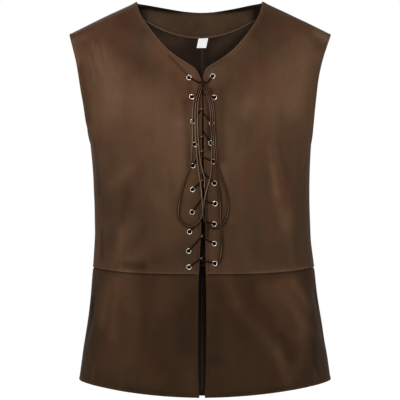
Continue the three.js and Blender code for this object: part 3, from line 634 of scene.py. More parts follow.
def curve_through(places, pitch):
    """An even line on a smooth curve through a few places."""
    ends = (2 * places[0] - places[1], 2 * places[-1] - places[-2])
    p = np.concatenate((ends[:1], places, ends[1:]))
    knots = np.concatenate(([0], np.cumsum(np.linalg.norm(np.diff(p, axis=0), axis=1) ** 0.5)))
    made = []
    for i in range(1, len(p) - 2):
        t = np.linspace(knots[i], knots[i + 1], 24, endpoint=i == len(p) - 3)[:, None]

        def mix(a, b, first, last):
            return ((last - t) * a + (t - first) * b) / (last - first)

        k = knots[i - 1 : i + 3]
        first = mix(p[i - 1], p[i], k[0], k[1])
        second = mix(p[i], p[i + 1], k[1], k[2])
        third = mix(p[i + 1], p[i + 2], k[2], k[3])
        made.append(mix(mix(first, second, k[0], k[2]), mix(second, third, k[1], k[3]), k[1], k[2]))
    return resampled(np.concatenate(made), pitch)


def softened(line, pitch, reach):
    """A line with its corners rounded over a distance of reach."""
    line = resampled(line, pitch)
    count = int(round(2.5 * reach / pitch))
    weights = np.exp(-((np.arange(-count, count + 1) * pitch / reach) ** 2))
    before = 2 * line[0] - line[count:0:-1]
    after = 2 * line[-1] - line[-2 : -count - 2 : -1]
    padded = np.concatenate((before, line, after))
    smooth = [np.convolve(column, weights / weights.sum(), "valid") for column in padded.T]
    return np.stack(smooth, -1)


# ---- meshes


def new_mesh_object(name, points, faces, materials, faces_of=None, wear_and_painted_light=None, uv=None):
    """A mesh in metres from points in millimetres, smooth apart from sharp corners."""
    mesh = bpy.data.meshes.new(name)
    mesh.from_pydata((np.asarray(points) * MM).tolist(), [], [list(face) for face in faces])
    for material in materials:
        mesh.materials.append(material)
    if faces_of is not None:
        mesh.polygons.foreach_set("material_index", np.asarray(faces_of, np.int32))
    if wear_and_painted_light is not None:
        mesh.attributes.new("wear_and_painted_light", "FLOAT", "POINT").data.foreach_set("value", wear_and_painted_light)
    if uv is not None:
        layer = mesh.uv_layers.new(name="Cord")
        layer.uv.foreach_set("vector", np.asarray(uv, np.float32).ravel())
    mesh.polygons.foreach_set("use_smooth", np.ones(len(mesh.polygons), bool))
    mesh.set_sharp_from_angle(angle=math.radians(50))
    mesh.validate()
    piece = bpy.data.objects.new(name, mesh)
    bpy.context.scene.collection.objects.link(piece)
    return piece


def wall(outer, inner):
    """Points and faces of a closed wall between two grids, and which faces are its inside."""
    rows, columns = outer.shape[:2]
    cells = rows * columns
    points = np.concatenate((outer.reshape(-1, 3), inner.reshape(-1, 3)))
    a = (np.arange(rows - 1)[:, None] * columns + np.arange(columns - 1)).ravel()
    front = np.stack((a, a + 1, a + columns + 1, a + columns), -1)
    grid = np.arange(cells).reshape(rows, columns)
    rim = np.concatenate((grid[0, :-1], grid[:-1, -1], grid[-1, :0:-1], grid[:0:-1, 0]))
    after = np.roll(rim, -1)
    band = np.stack((rim, rim + cells, after + cells, after), -1)
    faces = np.concatenate((front, front[:, ::-1] + cells, band))
    middle = front[len(front) // 2]
    first, second, third = points[middle[:3]]
    if np.dot(np.cross(second - first, third - first), first - points[middle[0] + cells]) < 0:
        faces = faces[:, ::-1]
    kinds = np.concatenate((np.zeros(len(front)), np.ones(len(front)), np.zeros(len(band))))
    return points, faces, kinds.astype(int)


def ring_faces(count, corners, closed):
    """The faces between rings of points, and both end caps unless the rings close on themselves."""
    a = np.arange(count if closed else count - 1)[:, None] * corners
    b = (a + corners) % (count * corners)
    i = np.arange(corners)
    j = (i + 1) % corners
    faces = np.stack(np.broadcast_arrays(a + i, a + j, b + j, b + i), -1).reshape(-1, 4).tolist()
    last = (count - 1) * corners
    return faces if closed else faces + [i[::-1].tolist(), (last + i).tolist()]


def swept(line, outward, inward, section, closed):
    """A closed section carried along a line: points and faces, capped unless it is a ring."""
    into, out = np.asarray(section, float).T
    rings = line[:, None] + inward[:, None] * into[:, None] + outward[:, None] * out[:, None]
    faces = ring_faces(*rings.shape[:2], closed)
    ring = rings[0] - rings[0].mean(0)
    if np.sum(np.cross(ring, np.roll(ring, -1, 0)) @ (line[1] - line[0])) < 0:
        faces = [face[::-1] for face in faces]
    return rings.reshape(-1, 3), faces


CORD_CORNERS = 14
END_LENGTH = 3.2  # how far from its end a cord reaches its full thickness


def plain_frame(line):
    """Two directions across a line that turn with it as little as they can."""
    along = unit(np.gradient(line, axis=0))
    side = unit(np.cross(along[0], (0.3, 0.9, 0.2)))
    sides = []
    for each in along:
        side = unit(side - each * np.dot(side, each))
        sides.append(side)
    sides = np.array(sides)
    return sides, np.cross(along, sides)


def braided_cord(line, diameter, pitch, relief, tapered_end=False):
    """A round braid along an even line: its points, faces and the map of its surface."""
    sides, others = plain_frame(line)
    run = run_from(line)
    corner = np.arange(CORD_CORNERS)
    turn = 2 * np.pi * corner / CORD_CORNERS
    plait = np.cos(4 * turn) * np.cos(2 * np.pi * run / pitch)[:, None]
    radius = diameter / 2 + relief * plait
    for from_end, end_share in ((run, 0.8), (run[-1] - run, 0.62 if tapered_end else 0.8)):
        opened = np.sin(np.clip(from_end / END_LENGTH, 0, 1) * np.pi / 2)
        radius = radius * (end_share + (1 - end_share) * opened)[:, None]
    rings = (line[:, None] + sides[:, None] * (radius * np.cos(turn))[..., None]
             + others[:, None] * (radius * np.sin(turn))[..., None])
    along = np.stack((run[:-1], run[:-1], run[1:], run[1:]), -1)[:, None]
    around = np.stack((corner, corner + 1, corner + 1, corner), -1)
    uv = np.stack(np.broadcast_arrays(along, around), -1).reshape(-1, 2)
    caps = np.repeat(((0, 0), (run[-1], 0)), CORD_CORNERS, axis=0)
    uv = np.concatenate((uv, caps)) / (pitch, CORD_CORNERS)
    return rings.reshape(-1, 3), ring_faces(len(line), CORD_CORNERS, False), uv


def merged(parts):
    """Several sets of points and faces as one."""
    starts = np.cumsum([0] + [len(points) for points, _ in parts]).tolist()
    faces = [[start + k for k in face] for start, part in zip(starts, parts) for face in part[1]]
    return np.concatenate([points for points, _ in parts]), faces


def settled(piece):
    """Replaces a piece's modifiers by the plain mesh that they make."""
    depsgraph = bpy.context.evaluated_depsgraph_get()
    mesh = bpy.data.meshes.new_from_object(piece.evaluated_get(depsgraph))
    if not mesh.polygons:
        raise RuntimeError(f"{piece.name} came out empty")
    piece.modifiers.clear()
    piece.data = mesh
    mesh.name = piece.name


def kept(piece, slot, *nodes):
    """Rides a finished piece on the garment and hides the imported parts that it stands in for."""
    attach(piece, "root")
    if nodes:
        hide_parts(*nodes)
    return piece


# ---- materials


def nodes_of(tree):
    """A short call that makes a node in a tree, with its settings, values and links."""

    def make(kind, inputs=(), **settings):
        node = tree.nodes.new(kind)
        for name, value in settings.items():
            setattr(node, name, value)
        for name, value in dict(inputs).items():
            if isinstance(value, bpy.types.NodeSocket):
                tree.links.new(value, node.inputs[name])
            else:
                node.inputs[name].default_value = value
        return node

    return make


def shader_group(name, inputs, outputs):
    """A new shader group with named sockets, its short call and its inputs."""
    group = bpy.data.node_groups.new(name, "ShaderNodeTree")
    for socket, kind, value in inputs:
        made = group.interface.new_socket(socket, in_out="INPUT", socket_type="NodeSocket" + kind)
        made.default_value = value
    for socket, kind in outputs:
        group.interface.new_socket(socket, in_out="OUTPUT", socket_type="NodeSocket" + kind)
    make = nodes_of(group)
    return group, make, make("NodeGroupInput").outputs


def number(make, operation, a, b=0.0, c=0.0):
    return make("ShaderNodeMath", {0: a, 1: b, 2: c}, operation=operation).outputs[0]


def scaled(make, value, by, plus=0.0):
    return number(make, "MULTIPLY_ADD", value, by, plus)


def blended(make, factor, a, b, way="MIX"):
    node = make("ShaderNodeMix", {0: factor, 6: a, 7: b}, data_type="RGBA", blend_type=way)
    return node.outputs[2]


def mask(make, value, low, high):
    return make(
        "ShaderNodeMapRange", {"Value": value, "From Min": low, "From Max": high},
        interpolation_type="SMOOTHSTEP",
    ).outputs["Result"]


def greyed(make, value):
    return make("ShaderNodeCombineColor", {"Red": value, "Green": value, "Blue": value}).outputs[0]


def lit(make, colour, light):
    """A colour made lighter or darker by a value that is 1 where it stays the same."""
    return blended(make, 1.0, colour, greyed(make, light), "MULTIPLY")


def bumped(make, height, strength, depth):
    bump = make("ShaderNodeBump", {"Height": height, "Strength": strength, "Distance": depth})
    return bump.outputs[0]


def place_on(make):
    """The place on the piece, in metres."""
    return make("ShaderNodeTexCoord").outputs["Object"]


def noise(make, place, scale, detail=2.0, roughness=0.5, distortion=0.0):
    return make("ShaderNodeTexNoise", {
        "Vector": place, "Scale": scale, "Detail": detail, "Roughness": roughness,
        "Distortion": distortion,
    }).outputs["Fac"]


def stretched(make, place, scale, location=(0, 0, 0)):
    inputs = {"Vector": place, "Location": location, "Scale": scale}
    return make("ShaderNodeMapping", inputs).outputs[0]


@cache
def mottle_group():
    """Broad patches of warmer and greener brown, with long faint strokes of the nap."""
    group, make, given = shader_group(
        "Suede Mottle",
        [("Ground", "Color", (0.1, 0.06, 0.03, 1)), ("Warm", "Color", (0.1, 0.05, 0.03, 1)),
         ("Olive", "Color", (0.08, 0.06, 0.03, 1)), ("Patch Size", "Float", 0.09),
         ("Strength", "Float", 0.6), ("Stroke", "Float", 0.16), ("Lean", "Float", 0.0)],
        [("Color", "Color"), ("Strokes", "Float")],
    )
    place = place_on(make)
    scale = number(make, "DIVIDE", 1.0, given["Patch Size"])
    warm = noise(make, stretched(make, place, (1, 1, 0.8), (0.2, 0.5, 0.1)), scale, 3.0, 0.55, 0.5)
    olive = noise(make, stretched(make, place, (1.3, 1.3, 0.7), (3.1, 1.7, 0.6)), scale, 4.0, 0.6)
    lean = scaled(make, make("ShaderNodeSeparateXYZ", {0: place}).outputs[0], given["Lean"])
    warm, olive = number(make, "SUBTRACT", warm, lean), number(make, "ADD", olive, lean)
    warm = scaled(make, mask(make, warm, 0.44, 0.62), given["Strength"])
    olive = scaled(make, mask(make, olive, 0.47, 0.66), given["Strength"])
    shade = blended(make, warm, given["Ground"], given["Warm"])
    shade = blended(make, olive, shade, given["Olive"])
    strokes = noise(make, stretched(make, place, (60, 60, 8)), 1.0, 3.0)
    stroke = mask(make, strokes, 0.3, 0.7)
    cloud = mask(make, noise(make, place, 190.0, 3.0, 0.6), 0.25, 0.75)
    light = number(make, "SUBTRACT", scaled(make, cloud, 0.35, stroke), 0.67)
    shade = lit(make, shade, scaled(make, light, given["Stroke"], 1.0))
    make("NodeGroupOutput", {"Color": shade, "Strokes": stroke})
    return group


@cache
def nap_group():
    """The relief of short brushed fibres, with soft pebbles under them."""
    group, make, given = shader_group(
        "Suede Nap",
        [("Fibre", "Float", 1500.0), ("Pebble", "Float", 260.0), ("Pebble Depth", "Float", 0.6)],
        [("Height", "Float"), ("Fleck", "Float")],
    )
    place = place_on(make)
    fibre = noise(make, stretched(make, place, (1, 1, 0.4)), given["Fibre"], 3.0, 0.65)
    pebble = noise(make, place, given["Pebble"], 2.0, 0.5, 0.4)
    height = scaled(make, pebble, given["Pebble Depth"], fibre)
    make("NodeGroupOutput", {"Height": height, "Fleck": mask(make, fibre, 0.35, 0.65)})
    return group


@cache
def wear_and_painted_light_group():
    """Lightens rubbed edges and ridges and adds painted highlights, and darkens with painted shade
    in hollows, creases and corners, by a value that each piece carries.
    """
    group, make, given = shader_group(
        "Wear And Painted Light",
        [("Color", "Color", (0.1, 0.06, 0.03, 1)), ("Worn", "Color", (0.2, 0.13, 0.08, 1)),
         ("Lighten", "Float", 0.5), ("Darken", "Float", 0.5)],
        [("Color", "Color"), ("Worn", "Float")],
    )
    wear_and_painted_light = make("ShaderNodeAttribute", attribute_name="wear_and_painted_light").outputs["Fac"]
    broken = scaled(make, noise(make, place_on(make), 150.0, 4.0, 0.6), 1.1, 0.45)
    worn_and_lit = scaled(make, number(make, "MAXIMUM", wear_and_painted_light, 0.0), broken)
    amount = make("ShaderNodeClamp", {0: scaled(make, worn_and_lit, given["Lighten"])}).outputs[0]
    shade = blended(make, amount, given["Color"], given["Worn"])
    light = scaled(make, number(make, "MINIMUM", wear_and_painted_light, 0.0), given["Darken"], 1.0)
    shade = lit(make, shade, number(make, "MAXIMUM", light, 0.1))
    make("NodeGroupOutput", {"Color": shade, "Worn": worn_and_lit})
    return group


@cache
def braid_group():
    """The yarns of a round braid, read from the cord's own map, with painted shade in the gaps
    between the plaits.
    """
    group, make, given = shader_group(
        "Braid",
        [("Color", "Color", (0.08, 0.05, 0.03, 1)), ("Gap", "Float", 0.5)],
        [("Color", "Color"), ("Height", "Float")],
    )
    place = make("ShaderNodeUVMap", uv_map="Cord").outputs["UV"]
    along, around, _ = make("ShaderNodeSeparateXYZ", {0: place}).outputs
    plait = scaled(make, number(make, "COSINE", scaled(make, along, 2 * math.pi)),
                   number(make, "COSINE", scaled(make, around, 8 * math.pi)))
    yarn = number(make, "SINE", scaled(make, around, 60.0, scaled(make, along, 30.0)))
    height = scaled(make, yarn, 0.12, mask(make, plait, -1.0, 1.0))
    yarn_share = number(make, "SUBTRACT", 1.0, given["Gap"])
    light = scaled(make, mask(make, plait, -0.9, 0.5), yarn_share, given["Gap"])
    make("NodeGroupOutput", {"Color": lit(make, given["Color"], light), "Height": height})
    return group


@cache
def tarnish_group():
    """Faint dull patches and fine scratches on bright metal."""
    group, make, given = shader_group(
        "Tarnish",
        [("Color", "Color", (0.7, 0.67, 0.62, 1)), ("Dull", "Color", (0.35, 0.31, 0.26, 1)),
         ("Amount", "Float", 0.25)],
        [("Color", "Color"), ("Roughness", "Float"), ("Height", "Float")],
    )
    place = place_on(make)
    patches = mask(make, noise(make, place, 420.0, 4.0, 0.6), 0.45, 0.7)
    patches = scaled(make, patches, given["Amount"])
    scratch = noise(make, stretched(make, place, (1, 1, 6)), 2600.0, 2.0)
    make("NodeGroupOutput", {
        "Color": blended(make, patches, given["Color"], given["Dull"]),
        "Roughness": scaled(make, patches, 0.35, scaled(make, scratch, 0.16, 0.3)),
        "Height": scratch,
    })
    return group


@cache
def weave_group():
    """A fine satin weave."""
    group, make, given = shader_group(
        "Satin Weave", [("Threads", "Float", 2600.0)], [("Height", "Float"), ("Thread", "Float")],
    )
    x, _, z = make("ShaderNodeSeparateXYZ", {0: place_on(make)}).outputs
    warp, weft = (number(make, "SINE", scaled(make, way, given["Threads"])) for way in (x, z))
    height = number(make, "MAXIMUM", scaled(make, warp, 0.6), weft)
    make("NodeGroupOutput", {"Height": height, "Thread": mask(make, height, -0.4, 0.9)})
    return group


def group_node(make, builder, **values):
    """Places a shader group, which is built the first time that it is asked for."""
    inputs = {name.replace("_", " "): value for name, value in values.items()}
    return make("ShaderNodeGroup", inputs, node_tree=builder()).outputs


def new_material(name, **constants):
    """A material with one Principled shader, with its constant values on the shader's sockets."""
    material = bpy.data.materials.new(name)
    material.use_nodes = True
    material.node_tree.nodes.clear()
    make = nodes_of(material.node_tree)
    shader = make("ShaderNodeBsdfPrincipled")
    for socket, value in constants.items():
        shader.inputs[socket.replace("_", " ")].default_value = value
    make("ShaderNodeOutputMaterial", {"Surface": shader.outputs[0]})

    def feed(**sockets):
        for socket, value in sockets.items():
            material.node_tree.links.new(value, shader.inputs[socket.replace("_", " ")])

    return material, make, feed


def full(colour, share=1.0):
    """A colour at a share of its strength, with its alpha."""
    return (*(share * each for each in colour), 1.0)


def suede(name, ground, warm, olive, worn_and_lit, stroke=0.09, lean=0.0):
    """Brushed suede. lean makes one side of the garment warmer and the other greener."""
    material, make, feed = new_material(
        name, Sheen_Weight=0.04, Sheen_Roughness=0.5, Sheen_Tint=(0.9, 0.62, 0.42, 1.0),
        Specular_IOR_Level=0.1, Specular_Tint=(1.0, 0.8, 0.62, 1.0),
    )
    mottle = group_node(make, mottle_group, Ground=full(ground), Warm=full(warm),
                        Olive=full(olive), Stroke=stroke, Lean=lean)
    wear_and_painted_light = group_node(make, wear_and_painted_light_group, Color=mottle["Color"], Worn=full(worn_and_lit))
    nap = group_node(make, nap_group)
    feed(
        Base_Color=lit(make, wear_and_painted_light["Color"], scaled(make, nap["Fleck"], 0.14, 0.93)),
        Roughness=scaled(make, nap["Fleck"], 0.12, 0.74),
        Normal=bumped(make, nap["Height"], 0.55, 0.0005),
    )
    return material


def suede_back(name, colour, worn_and_lit):
    """The wrong side: a close dark backing cloth."""
    material, make, feed = new_material(name, Sheen_Weight=0.05, Specular_IOR_Level=0.15)
    mottle = group_node(make, mottle_group, Ground=full(colour), Warm=full(colour, 0.85),
                        Olive=full(colour, 0.75), Stroke=0.1)
    weave = group_node(make, weave_group, Threads=3800.0)
    wear_and_painted_light = group_node(make, wear_and_painted_light_group, Color=mottle["Color"], Worn=full(worn_and_lit))
    feed(
        Base_Color=lit(make, wear_and_painted_light["Color"], scaled(make, weave["Thread"], 0.15, 0.85)),
        Roughness=scaled(make, weave["Thread"], -0.08, 0.92),
        Normal=bumped(make, weave["Height"], 0.3, 0.0002),
    )
    return material


def braided(name, colour, worn_and_lit):
    material, make, feed = new_material(
        name, Specular_IOR_Level=0.08, Specular_Tint=(1.0, 0.76, 0.56, 1.0))
    wear_and_painted_light = group_node(
        make, wear_and_painted_light_group, Color=full(colour), Worn=full(worn_and_lit), Lighten=1.0, Darken=0.8)
    braid = group_node(make, braid_group, Color=wear_and_painted_light["Color"], Gap=0.6)
    feed(
        Base_Color=braid["Color"],
        Roughness=scaled(make, braid["Height"], -0.1, 0.6),
        Normal=bumped(make, braid["Height"], 0.4, 0.00015),
    )
    return material


def twisted_thread(name, colour):
    material, make, feed = new_material(name, Sheen_Weight=0.2, Specular_IOR_Level=0.4)
    twist = mask(make, noise(make, place_on(make), 2200.0), 0.35, 0.65)
    feed(
        Base_Color=blended(make, twist, full(colour, 0.7), full(colour)),
        Roughness=scaled(make, twist, 0.1, 0.55),
        Normal=bumped(make, twist, 0.4, 0.0001),
    )
    return material


def nickel(name, colour):
    material, make, feed = new_material(name, Metallic=1.0)
    tarnish = group_node(make, tarnish_group, Color=full(colour))
    feed(Base_Color=tarnish["Color"], Roughness=tarnish["Roughness"],
         Normal=bumped(make, tarnish["Height"], 0.1, 0.0001))
    return material


def satin(name, colour):
    """White satin with a faint painted glow, so that it stays bright in the shade inside the neck.
    """
    material, make, feed = new_material(
        name, Sheen_Weight=0.15, Specular_IOR_Level=0.5,
        # painted glow: the label gives off a little light of its own
        Emission_Color=(0.95, 0.97, 1.0, 1.0), Emission_Strength=0.22,
    )
    weave = group_node(make, weave_group)
    feed(
        Base_Color=blended(make, weave["Thread"], full(colour, 0.94), full(colour)),
        Roughness=scaled(make, weave["Thread"], -0.15, 0.6),
        Normal=bumped(make, weave["Height"], 0.4, 0.0001),
    )
    return material


@cache
def finish_for(name):
    """One of the garment's finishes, made the first time that it is asked for."""
    tint = bpy.context.scene.jerkin_colours
    return {
        "suede": lambda: suede(
            "Brown Suede", tint.suede, tint.suede_warm, tint.suede_olive, tint.worn_and_lit, lean=0.25),
        # The skirt's suede is the bodice's in darker colours, partly painted shade.
        "skirt": lambda: suede(
            "Skirt Suede", tint.skirt, tint.skirt_warm, tint.skirt_olive, tint.skirt_worn_and_lit,
            stroke=0.12),
        "inside": lambda: suede_back("Suede Back", tint.inside, tint.facing),
        "facing": lambda: suede(
            "Facing Suede", tint.facing, tint.facing, full(tint.facing, 0.7)[:3],
            tint.facing_worn_and_lit),
        "label": lambda: satin("Woven Label", tint.label),
        "lace": lambda: braided("Braided Lace", tint.lace, tint.lace_highlight),
        "thread": lambda: twisted_thread("Sewing Thread", tint.thread),
        "eyelet": lambda: nickel("Bright Nickel", tint.metal),
    }[name]()


# ---- rules that repeat a piece


def geometry_tree(name, inputs):
    """A new geometry tree with named inputs, its short call and its inputs."""
    tree = bpy.data.node_groups.new(name, "GeometryNodeTree")
    tree.is_modifier = True
    for socket, kind in (("Geometry", "Geometry"), *inputs):
        tree.interface.new_socket(socket, in_out="INPUT", socket_type="NodeSocket" + kind)
    tree.interface.new_socket("Geometry", in_out="OUTPUT", socket_type="NodeSocketGeometry")
    make = nodes_of(tree)
    return tree, make, make("NodeGroupInput").outputs


def end_of_tree(make, instances, material):
    """Makes the instances real, smooths them and gives them their material."""
    real = make("GeometryNodeRealizeInstances", {0: instances})
    smooth = make("GeometryNodeSetShadeSmooth", {0: real.outputs[0]})
    painted = make("GeometryNodeSetMaterial", {0: smooth.outputs[0], "Material": material})
    make("NodeGroupOutput", {"Geometry": painted.outputs[0]})


def facing_out(make, first=None):
    """The turn that lays an instance's Z along the point's outward direction."""
    kind = "FunctionNodeAlignRotationToVector"
    out = make("GeometryNodeInputNamedAttribute", {"Name": "outward"}, data_type="FLOAT_VECTOR")
    if first is None:
        return make(kind, {"Vector": out.outputs[0]}, axis="Z").outputs[0]
    turn = make(kind, {"Vector": first}, axis="X")
    both = {"Rotation": turn.outputs[0], "Vector": out.outputs[0]}
    return make(kind, both, axis="Z", pivot_axis="X").outputs[0]


def topstitch_tree():
    """One thread bead for each stitch, at an even pitch along the lines of a mesh."""
    tree, make, given = geometry_tree(
        "Topstitch Run",
        (("Pitch", "Float"), ("Stitch Length", "Float"), ("Thread", "Float"),
         ("Material", "Material")),
    )
    lines = make("GeometryNodeMeshToCurve", {0: given["Geometry"]})
    even = make("GeometryNodeResampleCurve", {"Curve": lines.outputs[0], "Length": given["Pitch"]},
                mode="LENGTH")
    turn = facing_out(make, make("GeometryNodeInputTangent").outputs[0])
    size = make("ShaderNodeCombineXYZ",
                {"X": given["Stitch Length"], "Y": given["Thread"], "Z": given["Thread"]})
    bead = make("GeometryNodeMeshUVSphere", {"Segments": 6, "Rings": 5, "Radius": 0.5})
    placed = make("GeometryNodeInstanceOnPoints", {
        "Points": even.outputs[0], "Instance": bead.outputs[0], "Rotation": turn,
        "Scale": size.outputs[0],
    })
    end_of_tree(make, placed.outputs[0], given["Material"])
    return tree


def eyelet_tree():
    """A pressed eyelet at each point: a wide front roll, a barrel and a narrow back roll."""
    tree, make, given = geometry_tree(
        "Eyelets",
        (("Rim Radius", "Float"), ("Bore Radius", "Float"), ("Back Radius", "Float"),
         ("Roll Height", "Float"), ("Stand", "Float"), ("Material", "Material")),
    )
    join = make("GeometryNodeJoinGeometry")
    bore = given["Bore Radius"]

    def ring(outer, flat, lift):
        reach = scaled(make, number(make, "SUBTRACT", outer, bore), 0.5)
        middle = scaled(make, number(make, "ADD", outer, bore), 0.5)
        path = make("GeometryNodeCurvePrimitiveCircle", {"Resolution": 32, "Radius": middle})
        section = make("GeometryNodeCurvePrimitiveCircle", {"Resolution": 10, "Radius": reach})
        swept_ring = make("GeometryNodeCurveToMesh", {0: path.outputs[0], 1: section.outputs[0]})
        squeeze = make("ShaderNodeCombineXYZ", {
            "X": 1.0, "Y": 1.0, "Z": number(make, "DIVIDE", flat, reach)})
        place = make("ShaderNodeCombineXYZ", {"Z": lift})
        shaped = make("GeometryNodeTransform", {
            "Geometry": swept_ring.outputs[0], "Translation": place.outputs[0],
            "Scale": squeeze.outputs[0]})
        tree.links.new(shaped.outputs[0], join.inputs[0])

    ring(given["Rim Radius"], given["Roll Height"], given["Stand"])
    ring(given["Back Radius"], given["Roll Height"], scaled(make, given["Stand"], -1.0))
    ring(number(make, "ADD", bore, 0.0005), given["Stand"], 0.0)
    placed = make("GeometryNodeInstanceOnPoints", {
        "Points": given["Geometry"], "Instance": join.outputs[0], "Rotation": facing_out(make)})
    end_of_tree(make, placed.outputs[0], given["Material"])
    return tree


def grown(name, runs, tree, **values):
    """Points or lines on the cloth, turned by a geometry tree into a plain mesh. A run is its
    points, their outward directions, and whether it is a closed line or no line at all (None)."""
    mesh = bpy.data.meshes.new(name)
    edges, count = [], 0
    for line, _, closed in runs:
        last = count + len(line) - 1
        if closed is not None:
            edges += [(k, k + 1) for k in range(count, last)] + [(last, count)] * closed
        count = last + 1
    points, outward = (np.concatenate([run[k] for run in runs]) for k in (0, 1))
    mesh.from_pydata((points * MM).tolist(), edges, [])
    out = mesh.attributes.new("outward", "FLOAT_VECTOR", "POINT")
    out.data.foreach_set("vector", outward.astype(np.float32).ravel())
    piece = bpy.data.objects.new(name, mesh)
    bpy.context.scene.collection.objects.link(piece)
    modifier = piece.modifiers.new(tree.name, "NODES")
    modifier.node_group = tree
    for item in tree.interface.items_tree:
        if item.in_out == "INPUT" and item.name in values:
            modifier[item.identifier] = values[item.name]
    settled(piece)
    if "outward" in piece.data.attributes:
        piece.data.attributes.remove(piece.data.attributes["outward"])
    return piece


# ---- panels

EDGE_STOPS = np.array((0, 0.5, 1.1, 1.8, 2.7, 3.9, 5.4, 7.6))  # rows and columns beside a seam
PANEL_WIDTH = 265  # the broadest row, by which the columns of a piece are spaced
BACK_TOP = float(back_neck_level(np.zeros(1))[0])  # the level of the centre-back seam's top


def spread(length, pitch):
    """Places along a length, closer together at both ends, where the seams are."""
    last = EDGE_STOPS[-1]
    middle = np.linspace(last, length - last, max(int(round((length - 2 * last) / pitch)), 2) + 1)
    return np.concatenate((EDGE_STOPS, middle[1:-1], length - EDGE_STOPS[::-1]))


def panel_columns(face, part):
    """Shares of a row from the front or back centre to the side, closest beside the lacing."""
    places = spread(PANEL_WIDTH, 3.7)
    if face < 0 and part == "bodice":
        near = np.arange(EDGE_STOPS[-1] + 2, 52, 2.0)
        places = np.concatenate((EDGE_STOPS, near, places[places > 53]))
    return places / PANEL_WIDTH


def bodice_levels(face):
    """Levels from the waist seam to the shoulder seam, closer at both and at the neckline."""
    level = np.concatenate((
        WAIST_SEAM + EDGE_STOPS, np.arange(WAIST_SEAM + 11, ARMHOLE_MIDDLE - 2, 3.6),
        np.arange(ARMHOLE_MIDDLE, SHOULDER_LEVEL - 5, 1.4), SHOULDER_LEVEL - EDGE_STOPS / 1.8,
    ))
    if face > 0:
        level = np.concatenate((level, back_neck_level(np.arange(0, 113, 7.0))))
    level = np.sort(level)
    spaced = [level[0]]
    for each in level[1:]:
        if each - spaced[-1] > 0.22:
            spaced.append(each)
    spaced[-1] = SHOULDER_LEVEL
    return np.array(spaced)


def skirt_levels():
    return HEM + spread(WAIST_SEAM - HEM, 3.6)


def nearest(points, line):
    """Distance from each point of a grid to a line of close points, found a part at a time."""
    found = [np.sqrt(((part[:, None] - line[None]) ** 2).sum(-1).min(1))
             for part in np.array_split(points.reshape(-1, 3), 40)]
    return np.concatenate(found).reshape(points.shape[:-1])


def pucker(points, amount, reach, distance):
    """Small gathers that run away from a seam."""
    along = drift(points * np.array((1, 1, 0.25)), 7.0) + 0.6 * drift(points, 17.0)
    return amount * along * np.exp(-distance / reach)


def lower_painted_shade(height):
    """Painted shade: the bodice is made darker below the chest, standing in for the light that
    falls off lower down.
    """
    share = ramp(height, -185, -335)
    return -0.6 * share * share * (3 - 2 * share)


def inside_shade(points):
    """How light or dark the inside of the back is: light below the facing, dark lower down."""
    across, height = points[..., 0], points[..., 2]
    light = 0.8 * bell(height, 15, -60) * ramp(across, -20, -40)
    light += 0.75 * bell(height + 92 - 0.75 * across, 15) * ramp(across, 4, 20)
    light -= 0.8 * bell(height + 125 - 0.95 * across, 6) * ramp(across, 2, 10)
    return light - 0.5 * bell(np.hypot(across, height + 100), 30) - 1.3 * ramp(height, -108, -124)


def nap_and_painted_light(face, side, angle, points):
    """How much lighter or darker the cloth is made at points: partly brushed nap, partly painted
    light and shade.
    """
    across, height = np.abs(points[..., 0]) / ROUND_PER_DEGREE, points[..., 2]
    chest = along_marks(CHEST_NAP_AND_PAINTED_LIGHT, FRONT, side, across, height)
    return along_marks(NAP_AND_PAINTED_LIGHT, face, side, angle, height) + np.where(face < 0, chest, 0)


@cache
def hanging_lace():
    """Close points along all the free cords."""
    routes = [cloth_at(FRONT, route)[0] for route, _, _ in CORDS.values()]
    return np.concatenate([curve_through(each, 2.0) for each in routes])


def lace_painted_shadow(points):
    """Painted shadow on the suede under and beside the hanging lace."""
    near = (points[..., 1] < -60) & (np.abs(points[..., 0]) < 70)
    shade = np.zeros(points.shape[:-1])
    if near.any():
        off = nearest(points[near], hanging_lace())
        shade[near] = -2.0 * bell(off, 2.9) - 0.3 * bell(off, 7)
    return shade


